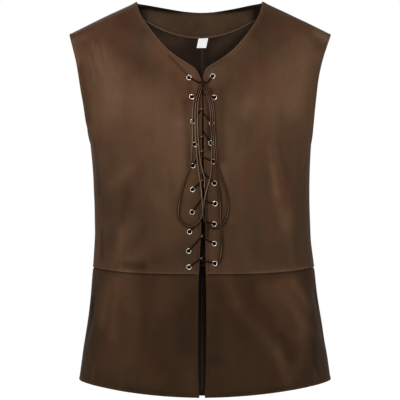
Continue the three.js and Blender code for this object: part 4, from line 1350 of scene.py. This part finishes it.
def panel(name, face, side, part, thickness, dip):
    """One cut piece of cloth, with its seams sunk and its folds, as a closed wall."""
    bodice = part == "bodice"
    level = (bodice_levels(face) if bodice else skirt_levels())[:, None]
    start = start_angle(face, side, level[:, 0])[:, None]
    end = edge_angle(row_at(level), face)
    angle = start + (end - start) * panel_columns(face, part)[None]
    point, outward, rise = cloth(face, side, level, angle)
    level = np.broadcast_to(level, angle.shape)
    from_start, from_end = run_from(point, 1), run_from(point, 1, True)
    low, high = run_from(point, 0), run_from(point, 0, True)

    # The side seam, and the centre-back seam up to the neck.
    offset = -dip * bell(from_end, 1.5) * ramp(level, UNDERARM + 1, UNDERARM - 7)
    offset += pucker(point, 0.18, 6, from_end) * (level < UNDERARM)
    # Fold ridges are made lighter, as rubbed, and fold hollows darker with painted shade; the seams
    # are darker lines.
    wear_and_painted_light = 0.1 * np.clip(rise, -2.5, 2.5) - 0.7 * bell(from_end, 1.6) * (level < UNDERARM)
    if face > 0:
        seam = ramp(level, BACK_TOP, BACK_TOP - 3) if bodice else 1
        offset -= dip * bell(from_start, 1.5) * seam
        wear_and_painted_light -= 0.7 * bell(from_start, 1.6) * seam

    if bodice:
        # The shoulder seam, the doubled cloth of the neckline, and the top of the waist seam.
        to_neck = nearest(point, cloth(*neck_edge())[0])
        to_arm = nearest(point, cloth(*armhole_edge(side))[0])
        free = np.minimum(to_neck, to_arm)
        collar = ramp(level, -165, -145) if face < 0 else 1
        offset -= dip * bell(high, 1.5)
        offset += 0.35 * collar * (1 - 1 / (1 + np.exp(-(to_neck - 9) / 0.9)))
        offset += 0.7 * bell(low, 1.2, 2.0) - 1.1 * bell(low, 0.9)
        offset += pucker(point, 0.32, 11, low) + pucker(point, 0.2, 6, to_arm)
        # A lighter band beside the neckline and a line of painted shade along the step of the
        # doubled cloth; a painted highlight along the ridge above the waist seam; darker lines in
        # the waist and shoulder seams.
        wear_and_painted_light += collar * (0.1 * bell(to_neck, 6.5) - 0.25 * bell(to_neck, 1.7, 10.2))
        wear_and_painted_light += 0.7 * bell(low, 0.9, 2.0) - 0.9 * bell(low, 0.8) - 0.6 * bell(high, 1.6)
        wear_and_painted_light += lower_painted_shade(point[..., 2])
    else:
        free = low if face > 0 else np.minimum(low, from_start)
        offset -= 1.5 * bell(high, 2.4) + 0.4 * np.exp(-high / 9)
        offset += pucker(point, 0.3, 12, high) + pucker(point, 0.25, 8, low)
        # Painted shadow along the top of the skirt, under the waist seam.
        wear_and_painted_light -= 0.9 * bell(high, 2.2)
    wear_and_painted_light += 0.15 * bell(free, 2.5) + nap_and_painted_light(face, side, angle, point) + lace_painted_shadow(point)

    # Inside, the back of the bodice gets painted light and shade, and the back of the skirt painted
    # shade all over.
    inside_wear_and_painted_light = 0.3 * wear_and_painted_light
    if face > 0:
        inside_wear_and_painted_light += inside_shade(point) if bodice else -1.6
    outer = point + outward * (offset + thickness / 2)[..., None]
    inner = point + outward * (offset - thickness / 2)[..., None]
    points, faces, kinds = wall(outer, inner)
    finishes = finish_for("suede" if bodice else "skirt"), finish_for("inside")
    wear_and_painted_light = np.concatenate((wear_and_painted_light.ravel(), inside_wear_and_painted_light.ravel()))
    return new_mesh_object(name, points, faces, finishes, kinds, wear_and_painted_light)


def eyelet_places(side):
    column = 0 if side == LEFT else 2
    return [(eyelet[column], eyelet[column + 1], 0.0) for eyelet in EYELETS]


def punched(piece, side, radius):
    """Cuts the eyelets' holes through a front."""
    turn = np.linspace(0, 2 * np.pi, 24, endpoint=False)
    section = np.stack((radius * np.cos(turn), radius * np.sin(turn)), -1)
    parts = []
    for centre, out in zip(*cloth_at(FRONT, eyelet_places(side))):
        line = centre + out * np.array((-6.0, 0.0, 6.0))[:, None]
        parts.append(swept(line, *plain_frame(line), section, False))
    cutter = new_mesh_object("eyelet_punch", *merged(parts), ())
    cut = piece.modifiers.new("Eyelet Holes", "BOOLEAN")
    cut.object, cut.operation, cut.solver = cutter, "DIFFERENCE", "MANIFOLD"
    settled(piece)
    bpy.data.objects.remove(cutter)


def turned_edge(name, edge, deeper, closed, raised, finish, broad=1.0, bright=1.0):
    """A turned and stitched edge, swept along an edge of the cloth."""
    line, outward, inward = edge_line(*edge, deeper)
    face, side, _, angle = edge
    places = cloth(*edge)[0]
    run = run_from(places)
    marks = nap_and_painted_light(face, side, angle, places)
    marks = np.interp(np.linspace(0, run[-1], len(line)), run, marks)
    if closed:
        line, outward, inward, marks = line[:-1], outward[:-1], inward[:-1], marks[:-1]
    section = [(into * broad, out + raised) for into, out in TURNED_EDGE]
    points, faces = swept(line, outward, inward, section, closed)
    x, y, height = np.abs(points[:, 0]), points[:, 1], points[:, 2]
    # Near the lacing, the neckline's painted highlight is weaker and the edge is made darker.
    laced = ramp(height, -90, -150) * (y < -60) * (x < 45)
    wear_and_painted_light = bright * (1 - 0.6 * laced) * np.resize(TURNED_WEAR_AND_LIGHT, len(points))
    wear_and_painted_light += np.repeat(marks, len(section)) + lace_painted_shadow(points) - 0.35 * laced
    wear_and_painted_light += lower_painted_shade(height) if finish == "suede" else 0
    wear_and_painted_light -= 2.0 * (y > 0) * (height > -30) * ramp(x, 20, 50)  # the shaded back of the neck
    return new_mesh_object(name, points, faces, (finish_for(finish),), wear_and_painted_light=wear_and_painted_light)


def stitch_line(edge, deeper, into, out, closed=False):
    """A row of stitches beside an edge: points, outward directions, and whether it is a ring."""
    line, outward, inward = edge_line(*edge, deeper)
    end = -1 if closed else None
    return (line + inward * into + outward * out)[:end], outward[:end], closed


def seam_allowances():
    """The pressed-open edges of each seam, inside."""
    parts = []

    def add(face, side, level, angle, deeper):
        level, angle = np.broadcast_arrays(np.asarray(level, float), np.asarray(angle, float))
        line = edge_line(face, side, level, angle, deeper, 4.0)
        parts.append(swept(*line, SEAM_ALLOWANCE, False))

    body = np.linspace(WAIST_SEAM + 2, UNDERARM - 6, 70)
    skirt = np.linspace(HEM + 7, WAIST_SEAM - 2, 60)
    shoulder = SHOULDER_LEVEL - 0.15
    for side in (LEFT, RIGHT):
        for face in (FRONT, BACK):
            add(face, side, body, 89.9, (0, -1))
            add(face, side, skirt, 89.9, (0, -1))
            start, top = start_angle(face, side, np.array([WAIST_SEAM, shoulder]))
            add(face, side, WAIST_SEAM + 0.3, np.linspace(start + 2.2 * (face < 0), 88, 90), (2, 0))
            end = edge_angle(row_at(shoulder), face)
            add(face, side, shoulder, np.linspace(top + 3, end - 3, 40), (-2, 0))
        add(BACK, side, np.linspace(WAIST_SEAM + 2, BACK_TOP - 1, 140), 0.05, (0, 1))
        add(BACK, side, skirt, 0.05, (0, 1))
    points, faces = merged(parts)
    wear_and_painted_light = np.resize(SEAM_WEAR, len(points))
    # Allowances above the waist seam get the painted light and shade of the back's inside, those
    # below it painted shade.
    wear_and_painted_light = wear_and_painted_light + np.where(points[:, 2] > WAIST_SEAM, inside_shade(points), -1.2)
    return new_mesh_object("seam_allowances", points, faces, (finish_for("inside"),), wear_and_painted_light=wear_and_painted_light)


# ---- lace


def lace_places(first_side):
    """One half of the lace: from the bottom bar, up through every row, into the bow."""
    middle = float(section_value("side", "opening", np.array(float(WAIST_SEAM))))
    bar = (middle, BOTTOM_BAR[0], BOTTOM_BAR[1])
    end_side = first_side if len(EYELETS) % 2 else -first_side
    end = (KNOT[0] + end_side * 8.2, KNOT[1] + 3.4, 6.2)
    places, side, start = [bar], first_side, bar
    for eyelet in reversed(EYELETS):
        column = 0 if side == LEFT else 2
        x, height, dive = eyelet[column], eyelet[column + 1], eyelet[4 + column // 2]
        ways = [end]
        if dive is not None:
            centre = float(section_value("front", "opening", np.array(float(dive))))
            ways = [(centre - side * across, dive - down, lift) for across, down, lift in DIVE]

        def towards(place, distance, lift, x=x, height=height):
            share = distance / math.hypot(place[0] - x, place[1] - height)
            return (x + (place[0] - x) * share, height + (place[1] - height) * share, lift)

        places += [towards(start, *way) for way in BEHIND]
        places += [towards(ways[0], 0.3, -INSIDE_EYELET), towards(ways[0], 1.1, INSIDE_EYELET)]
        places += [towards(ways[0], *way) for way in FRONT_TURN]
        places += ways
        start, side = ways[-1], -side
    into_bow = (KNOT[0] + end_side * 4, KNOT[1] + 1.8, 7)
    return [*places, into_bow, (KNOT[0] - end_side * 1.5, KNOT[1], 6.6)]


def lace_painted_light(points, pulled):
    """Painted light on the lace: a painted highlight along the side that faces the lamps, and
    painted shade at its sides, where it is pulled tight and in the eyelets."""
    rings = points.reshape(-1, CORD_CORNERS, 3)
    # How far each point of the cord faces the lamps, which sets its painted highlight.
    top = unit(rings - rings.mean(1, keepdims=True)) @ unit(np.array((-0.4, -0.85, 0.3)))
    top = np.maximum(top, 0).ravel()
    x, height = points[:, 0], points[:, 2]
    if pulled:
        # Pulled strands: painted shade, with painted highlights where they cross the opening.
        across = x - section_value("front", "opening", height) + 1.8
        dive_highlight = [bell(np.hypot(across, height - dive + 1.4), 2.8) for dive in LACE_LIT_DIVES]
        return 2.6 * np.max(dive_highlight, 0) * top - 1.15
    low = ramp(height, -255, -315) * ramp(np.abs(x - 2), 9, 21)
    low = np.maximum(low, ramp(height, -375, -405))
    bright = 0.85 - 0.4 * low - 0.7 * bell(height, 34, -156) + 0.5 * bell(height, 9, -450)
    bright -= 0.6 * bell(height, 30, -230) * (x > 6)
    bright += np.where(np.abs(x) > 14, 0.4, -0.2) * bell(height, 15, -373)
    return bright * top**2 - 1.0 * (1 - top) - 0.3 * low


def into_knot(route, far_end):
    """A free cord's route with its roots, which lead into the bow's knot."""

    def roots(x, order):
        away = x - KNOT[0]
        return (
            (KNOT[0] + 0.1 * away, KNOT[1] + 0.6 - 1.6 * order, 6.6 + 1.4 * order),
            (KNOT[0] + 0.62 * away, KNOT[1] - 0.3 - 1.2 * order, 7.1 + 0.7 * order),
        )

    back = roots(route[-1][0], 1)[::-1] if far_end == "object" else ()
    return (*roots(route[0][0], 0), *route, *back)


def bow_knot(diameter, pitch, relief):
    """The wrap of the bow's knot: two turns of lace round the roots of its loops."""
    centre, out = (each[0] for each in cloth_at(FRONT, [KNOT]))
    right = unit(np.cross((0, 0, 1), -out))
    up = np.cross(right, out)
    up = up * np.sign(up[2])
    turn = np.linspace(-0.35, 2.1, 33)
    around = 2 * np.pi * turn
    across = 2.6 * (turn - 0.9) + 0.5 * np.sin(around)
    rise = (4.1 + 0.25 * np.cos(2 * around)) * np.cos(around) - 0.4
    lift = 3.3 * np.sin(around) + 0.3
    places = centre + across[:, None] * right + rise[:, None] * up + lift[:, None] * out
    return braided_cord(curve_through(places, pitch / 4), diameter, pitch, relief)


# ---- the user's sizes and colours


def tone(code):
    """The linear colour of a hexadecimal code."""
    values = [int(code[i : i + 2], 16) / 255 for i in (0, 2, 4)]
    return tuple(v / 12.92 if v < 0.04045 else ((v + 0.055) / 1.055) ** 2.4 for v in values)


def length_property(name, about, value):
    return bpy.props.FloatProperty(name=name, description=about, default=value, min=0.0,
                                   subtype="DISTANCE", unit="LENGTH", precision=5)


def colour_property(name, about, code):
    return bpy.props.FloatVectorProperty(name=name, description=about, default=tone(code),
                                         subtype="COLOR", size=3, min=0.0, max=1.0)


class JerkinSizes(bpy.types.PropertyGroup):
    """Sizes of the cloth, the lace and the small parts, in metres."""

    cloth: length_property("Cloth", "Thickness of the suede", 0.0014)
    seam_dip: length_property("Seam Dip", "How deep the cloth sinks at a seam", 0.0011)
    neck_step: length_property(
        "Neck Step", "How far the doubled cloth at the neck stands out", 0.0003)
    lace: length_property("Lace", "Diameter of the lace", 0.0025)
    braid_pitch: length_property("Braid Pitch", "Length of one plait of the lace", 0.0032)
    braid_relief: length_property("Braid Relief", "Height of the plaits", 0.00008)
    stitch_pitch: length_property("Stitch Pitch", "Distance from stitch to stitch", 0.0036)
    stitch_length: length_property("Stitch Length", "Length of thread that shows", 0.0026)
    thread: length_property("Thread", "Thickness of the thread", 0.0006)
    eyelet_rim: length_property("Eyelet Rim", "Outer radius of an eyelet", 0.0045)
    eyelet_back: length_property("Eyelet Back", "Radius of an eyelet's back roll", 0.0043)
    eyelet_bore: length_property("Eyelet Bore", "Radius of an eyelet's bore", 0.0035)
    eyelet_hole: length_property("Eyelet Hole", "Radius of the hole in the cloth", 0.0039)


class JerkinColours(bpy.types.PropertyGroup):
    """Colours of the cloth, the lace and the small parts."""

    suede: colour_property("Suede", "Ground colour of the bodice", "503a29")
    suede_warm: colour_property("Suede Warm", "Warmer patches of the bodice", "503224")
    suede_olive: colour_property("Suede Olive", "Greener patches of the bodice", "443323")
    # These lighter colours show on rubbed edges and ridges and also give the painted highlights.
    worn_and_lit: colour_property("Worn", "Rubbed edges and ridges of the bodice", "6f5140")
    # The skirt is the bodice's suede in darker colours: partly its nap, partly painted shade for
    # the light falling off lower down.
    skirt: colour_property("Skirt", "Ground colour of the skirt", "332315")
    skirt_warm: colour_property("Skirt Warm", "Warmer patches of the skirt", "331f13")
    skirt_olive: colour_property("Skirt Olive", "Greener patches of the skirt", "2b1e11")
    skirt_worn_and_lit: colour_property("Skirt Worn", "Rubbed edges and ridges of the skirt", "503827")
    inside: colour_property("Inside", "Wrong side of the suede", "2e2016")
    facing: colour_property("Facing", "Back neck facing", "513e2d")
    facing_worn_and_lit: colour_property("Facing Edge", "Rubbed edge of the facing", "746153")
    label: colour_property("Label", "Blank woven label", "fbfaf6")
    lace: colour_property("Lace", "Braided lace", "482e20")
    # The lace's lighter colour is its painted highlight.
    lace_highlight: colour_property("Lace Rubbed", "Lace where the light nap shows", "8f7e69")
    thread: colour_property("Thread", "Sewing thread", "4a3425")
    metal: colour_property("Metal", "Eyelets", "fff1e0")


# ---- making the pieces


SKY_LIGHT = 0.18  # how strongly the white room lights the cloth
STUDIO_LIGHTS = (  # name, place, size and power in watts
    ("key_light", (-1.15, -1.45, 0.55), 0.4, 4.5),
    ("fill_light", (1.2, -1.5, 0.45), 0.5, 3.2),
    ("front_light", (-0.42, -2.3, 0.7), 0.35, 36),
    ("rear_light", (-0.9, 1.9, 0.7), 0.6, 20),
    ("rear_fill_light", (1.2, 1.9, 0.5), 0.8, 12),
)
LIGHT_AIM = (0, 0, -0.2)
CAMERA_PLACE, CAMERA_LENS, CAMERA_SENSOR = (-0.00364, -3.5, -0.3586), 173.08, 36
FLOOR_DROP, FLOOR_RADIUS, FLOOR_CORNERS = 0.09, 8.0, 48


def pale_floor():
    """A pale floor that takes the soft shadow and fades into the white room."""
    material, make, feed = new_material("Pale Floor", Roughness=0.85, Emission_Strength=1.0)
    flat = make("ShaderNodeVectorMath", {0: place_on(make), 1: (1, 1, 0)}, operation="MULTIPLY")
    reach = make("ShaderNodeVectorMath", {0: flat.outputs[0]}, operation="LENGTH")
    white = mask(make, reach.outputs["Value"], 0.3, 0.85)
    feed(
        Base_Color=blended(make, white, (0.9, 0.9, 0.9, 1), (0.0, 0.0, 0.0, 1)),
        Emission_Color=greyed(make, scaled(make, white, 0.6, 0.4)),
    )
    return material


def white_room():
    """A world that is white to the camera and lights the cloth only a little."""
    world = bpy.data.worlds.new("Studio")
    world.use_nodes = True
    world.node_tree.nodes.clear()
    make = nodes_of(world.node_tree)
    seen = make("ShaderNodeLightPath").outputs["Is Camera Ray"]
    strength = scaled(make, seen, 1 - SKY_LIGHT, SKY_LIGHT)
    sky = make("ShaderNodeBackground", {"Color": (1, 1, 1, 1), "Strength": strength})
    make("ShaderNodeOutputWorld", {"Surface": sky.outputs[0]})
    return world


class JERKIN_OT_stage(bpy.types.Operator):
    """Lay the pale floor and set the lights and the camera"""

    bl_idname = "jerkin.stage"
    bl_label = "Stage"

    def execute(self, context):
        scene = context.scene
        scene.view_settings.view_transform = "Standard"
        scene.world = white_room()
        turn = np.linspace(0, 2 * np.pi, FLOOR_CORNERS, endpoint=False)
        height = np.full(FLOOR_CORNERS, CAD_BOX[0].z - FLOOR_DROP)
        points = np.stack((FLOOR_RADIUS * np.cos(turn), FLOOR_RADIUS * np.sin(turn), height), -1)
        floor = [tuple(range(FLOOR_CORNERS))]
        new_mesh_object("studio_floor", points / MM, floor, (pale_floor(),))

        for name, place, size, power in STUDIO_LIGHTS:
            lamp = bpy.data.lights.new(name, "AREA")
            lamp.size, lamp.energy = size, power
            light = bpy.data.objects.new(name, lamp)
            light.location = place
            to_aim = Vector(LIGHT_AIM) - light.location
            light.rotation_euler = to_aim.to_track_quat("-Z", "Y").to_euler()
            scene.collection.objects.link(light)

        lens = bpy.data.cameras.new("camera")
        lens.lens, lens.sensor_width, lens.clip_end = CAMERA_LENS, CAMERA_SENSOR, 60
        camera = bpy.data.objects.new("camera", lens)
        camera.location = CAMERA_PLACE
        camera.rotation_euler = (math.radians(90), 0, 0)
        scene.collection.objects.link(camera)
        scene.camera = camera
        return {"FINISHED"}


class JERKIN_OT_cords(bpy.types.Operator):
    """Make the lace, its bow and its free ends"""

    bl_idname = "jerkin.cords"
    bl_label = "Lace and Bow"

    def execute(self, context):
        sizes = context.scene.jerkin_sizes
        braid = [value / MM for value in (sizes.lace, sizes.braid_pitch, sizes.braid_relief)]
        step = braid[1] / 4

        def add_lace(name, node, made, wear_and_painted_light):
            points, faces, uv = made
            piece = new_mesh_object(name, points, faces, (finish_for("lace"),), wear_and_painted_light=wear_and_painted_light, uv=uv)
            return kept(piece, "lace", node)

        made = bow_knot(*braid)
        # The knot is painted in shade all over.
        knot = add_lace("lace_knot", "bow_knot", made, np.full(len(made[0]), -0.85))
        for name, (route, length, far_end) in CORDS.items():
            line = curve_through(cloth_at(FRONT, into_knot(route, far_end))[0], step)
            made = braided_cord(line, *braid, tapered_end=far_end == "bare")
            cord = add_lace(f"lace_{name}", name, made, lace_painted_light(made[0], False))
        for side, hand in HANDS:
            line = softened(cloth_at(FRONT, lace_places(side))[0], 0.4, 1.3)
            made = braided_cord(resampled(line, step), *braid)
            add_lace(f"lace_{hand}_strand", f"lace_{hand}", made, lace_painted_light(made[0], True))
        return {"FINISHED"}


def add_panels(context, part, slot):
    """The front and back pieces of the bodice or of the skirt."""
    sizes = context.scene.jerkin_sizes
    for face, other in ((FRONT, BACK), (BACK, FRONT)):
        key = CENTRE[face] if part == "bodice" else f"skirt_{CENTRE[face]}"
        for side, hand in HANDS:
            node = f"{key}_{hand}"
            piece = panel(f"{node}_cloth", face, side, part, sizes.cloth / MM, sizes.seam_dip / MM)
            if key == "front":
                punched(piece, side, sizes.eyelet_hole / MM)
            kept(piece, slot, node)


class JERKIN_OT_bodice(bpy.types.Operator):
    """Cut and shape the two fronts and the two backs"""

    bl_idname = "jerkin.bodice"
    bl_label = "Bodice"

    def execute(self, context):
        add_panels(context, "bodice", "suede")
        return {"FINISHED"}


class JERKIN_OT_skirt(bpy.types.Operator):
    """Cut and shape the four pieces of the skirt"""

    bl_idname = "jerkin.skirt"
    bl_label = "Skirt"

    def execute(self, context):
        add_panels(context, "skirt", "skirt_suede")
        return {"FINISHED"}


class JERKIN_OT_edges(bpy.types.Operator):
    """Turn the neckline, armholes, front edges and hem, and press the seams open"""

    bl_idname = "jerkin.edges"
    bl_label = "Turned Edges"

    def execute(self, context):
        step = context.scene.jerkin_sizes.neck_step / MM
        kept(turned_edge("neck_turned_edge", neck_edge(), NECK_IN, False, step, "suede"), "suede")
        hem = turned_edge("hem_turned_edge", hem_edge(), HEM_IN, False, 0, "skirt", broad=1.4)
        kept(hem, "skirt_suede")
        for side, hand in HANDS:
            name, edge = f"armhole_turned_edge_{hand}", armhole_edge(side)
            kept(turned_edge(name, edge, ARMHOLE_IN, True, 0, "suede"), "suede")
            name, edge = f"skirt_front_turned_edge_{hand}", skirt_front_edge(side)
            bright = 1.1 if side == LEFT else 0.7
            kept(turned_edge(name, edge, FRONT_IN, False, 0, "skirt", bright=bright), "skirt_suede")
        kept(seam_allowances(), "suede")
        return {"FINISHED"}


class JERKIN_OT_stitching(bpy.types.Operator):
    """Sew the topstitching along the turned edges"""

    bl_idname = "jerkin.stitching"
    bl_label = "Topstitching"

    def execute(self, context):
        sizes = context.scene.jerkin_sizes
        runs = [
            stitch_line(neck_edge(), NECK_IN, STITCH_ROW, 0.95 + sizes.neck_step / MM),
            stitch_line(hem_edge(), HEM_IN, HEM_STITCH_ROW, 0.92),
        ]
        for side, _ in HANDS:
            runs.append(stitch_line(armhole_edge(side), ARMHOLE_IN, STITCH_ROW, 0.92, True))
            runs.append(stitch_line(skirt_front_edge(side), FRONT_IN, STITCH_ROW, 0.92))
        piece = grown("topstitching", runs, topstitch_tree(), **{
            "Pitch": sizes.stitch_pitch, "Stitch Length": sizes.stitch_length,
            "Thread": sizes.thread, "Material": finish_for("thread")})
        kept(piece, "suede")
        return {"FINISHED"}


class JERKIN_OT_eyelets(bpy.types.Operator):
    """Press the eyelets into the fronts"""

    bl_idname = "jerkin.eyelets"
    bl_label = "Eyelets"

    def execute(self, context):
        sizes = context.scene.jerkin_sizes
        runs = [(*cloth_at(FRONT, eyelet_places(side)), None) for side, _ in HANDS]
        piece = grown("eyelets", runs, eyelet_tree(), **{
            "Rim Radius": sizes.eyelet_rim, "Bore Radius": sizes.eyelet_bore,
            "Back Radius": sizes.eyelet_back, "Roll Height": EYELET_ROLL, "Stand": EYELET_STAND,
            "Material": finish_for("eyelet")})
        kept(piece, "eyelet", *[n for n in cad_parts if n.startswith("eyelet_")])
        return {"FINISHED"}


def facing_grid():
    """Places of the back neck facing, from the neckline down, as across and height."""
    middle = float(section_value("side", "opening", np.array(float(SHOULDER_TIP))))
    u = np.linspace(-1, 1, FACING_COLUMNS)[None]
    share = np.linspace(0, 1, FACING_ROWS)[:, None]
    top = back_neck_height(u) - FACING_TOP * (1 - u**2)
    low = FACING_MIDDLE_LOW + FACING_END_RISE * u**2
    sweep = 1 - np.cos(share * np.pi / 2)
    share = share + (sweep - share) * u**2
    x = np.broadcast_to(middle + u * FACING_REACH, share.shape)
    return np.stack((x, top + (low - top) * share - 0.2), -1)


def facing_wear_and_painted_light(place):
    """Painted light on the facing: lighter along its rolled, stitched edge, partly rubbed and
    partly painted highlight; painted shade in its corners and at its top.
    """
    ends = np.linspace(-1, 1, FACING_COLUMNS)
    row = np.arange(FACING_ROWS)[:, None]
    from_low, out = row[::-1], np.abs(ends)
    drop = place[:1, :, 1] - place[..., 1]
    wear_and_painted_light = 1.6 * bell(from_low, 1.0) - 0.5 * bell(from_low, 1.0, 2.4) - 0.5 * bell(row, 2)
    wear_and_painted_light = wear_and_painted_light - 1.1 * bell(ends, 0.16, 1.0) + 0.5 * bell(ends, 0.25, -0.75)
    wear_and_painted_light -= 0.35 * bell(ends, 0.35) * bell(drop, 14, 28) + 1.3 * ramp(out, 0.84, 0.94)
    return wear_and_painted_light - 2.6 * bell(drop, 4.5) * ramp(out, 0.2, 0.7)


def add_facing():
    """The facing round the inside of the back neck, rolled along its lower edge."""
    place = facing_grid()
    lift = np.full(place.shape[:2], -(BACK_CLOTH / 2 + LAYER_GAP + FACING_CLOTH / 2))
    lift[-1] += 0.25  # the stitched edge is drawn to the back
    places = np.concatenate((place, lift[..., None]), -1).reshape(-1, 3)
    points, outward = (each.reshape(*lift.shape, 3) for each in cloth_at(BACK, places))
    roll = 0.3 * bell(np.arange(FACING_ROWS)[::-1, None, None], 1.0)
    outer = points + outward * (FACING_CLOTH / 2)
    inner = points - outward * (FACING_CLOTH / 2 + roll)
    points, faces, _ = wall(outer, inner)
    wear_and_painted_light = np.tile(facing_wear_and_painted_light(place).ravel(), 2)
    facing = new_mesh_object("neck_facing_cloth", points, faces, (finish_for("facing"),), wear_and_painted_light=wear_and_painted_light)
    kept(facing, "facing", "neck_facing")


def add_label():
    """The blank label, sewn down along its top and a little curled below."""
    across, drop = np.meshgrid(np.linspace(-0.5, 0.5, LABEL_COLUMNS), np.linspace(0, 1, LABEL_ROWS))
    curl = 0.5 * drop**2 * np.sin(6 * across + 1) - 0.25 * np.cos(5 * drop)
    places = np.stack((
        LABEL_MIDDLE + LABEL_WIDTH * across + LABEL_LEAN * (drop - 0.5),
        LABEL_TOP - LABEL_LENGTH * drop,
        -(BACK_CLOTH / 2 + LAYER_GAP + LABEL_CLOTH / 2) - drop + curl,
    ), -1).reshape(-1, 3)
    points, outward = (each.reshape(*across.shape, 3) for each in cloth_at(BACK, places))
    points, faces, _ = wall(points + outward * LABEL_HALF, points - outward * LABEL_HALF)
    label = new_mesh_object("neck_label_cloth", points, faces, (finish_for("label"),))
    kept(label, "label", "neck_label")


class JERKIN_OT_facing(bpy.types.Operator):
    """Set the back neck facing and the blank label inside the neck"""

    bl_idname = "jerkin.facing"
    bl_label = "Facing and Label"

    def execute(self, context):
        add_facing()
        add_label()
        return {"FINISHED"}


class JERKIN_PT_tools(bpy.types.Panel):
    """The steps that make the jerkin, with its sizes and colours"""

    bl_label = "Laced Jerkin"
    bl_idname = "JERKIN_PT_tools"
    bl_space_type = "VIEW_3D"
    bl_region_type = "UI"
    bl_category = "Jerkin"

    def draw(self, context):
        for operator in STEPS:
            self.layout.operator(operator.bl_idname)
        for group in (context.scene.jerkin_sizes, context.scene.jerkin_colours):
            box = self.layout.box()
            for name in group.__annotations__:
                box.prop(group, name)


STEPS = (
    JERKIN_OT_stage, JERKIN_OT_cords, JERKIN_OT_bodice, JERKIN_OT_skirt, JERKIN_OT_edges,
    JERKIN_OT_stitching, JERKIN_OT_eyelets, JERKIN_OT_facing,
)
CLASSES = (JerkinSizes, JerkinColours, *STEPS, JERKIN_PT_tools)


def register():
    for each in CLASSES:
        bpy.utils.register_class(each)
    bpy.types.Scene.jerkin_sizes = bpy.props.PointerProperty(type=JerkinSizes)
    bpy.types.Scene.jerkin_colours = bpy.props.PointerProperty(type=JerkinColours)


def unregister():
    del bpy.types.Scene.jerkin_sizes, bpy.types.Scene.jerkin_colours
    for each in reversed(CLASSES):
        bpy.utils.unregister_class(each)


def main():
    register()
    for step in STEPS:
        group, name = step.bl_idname.split(".")
        getattr(getattr(bpy.ops, group), name)()


if __name__ == "__main__":
    main()
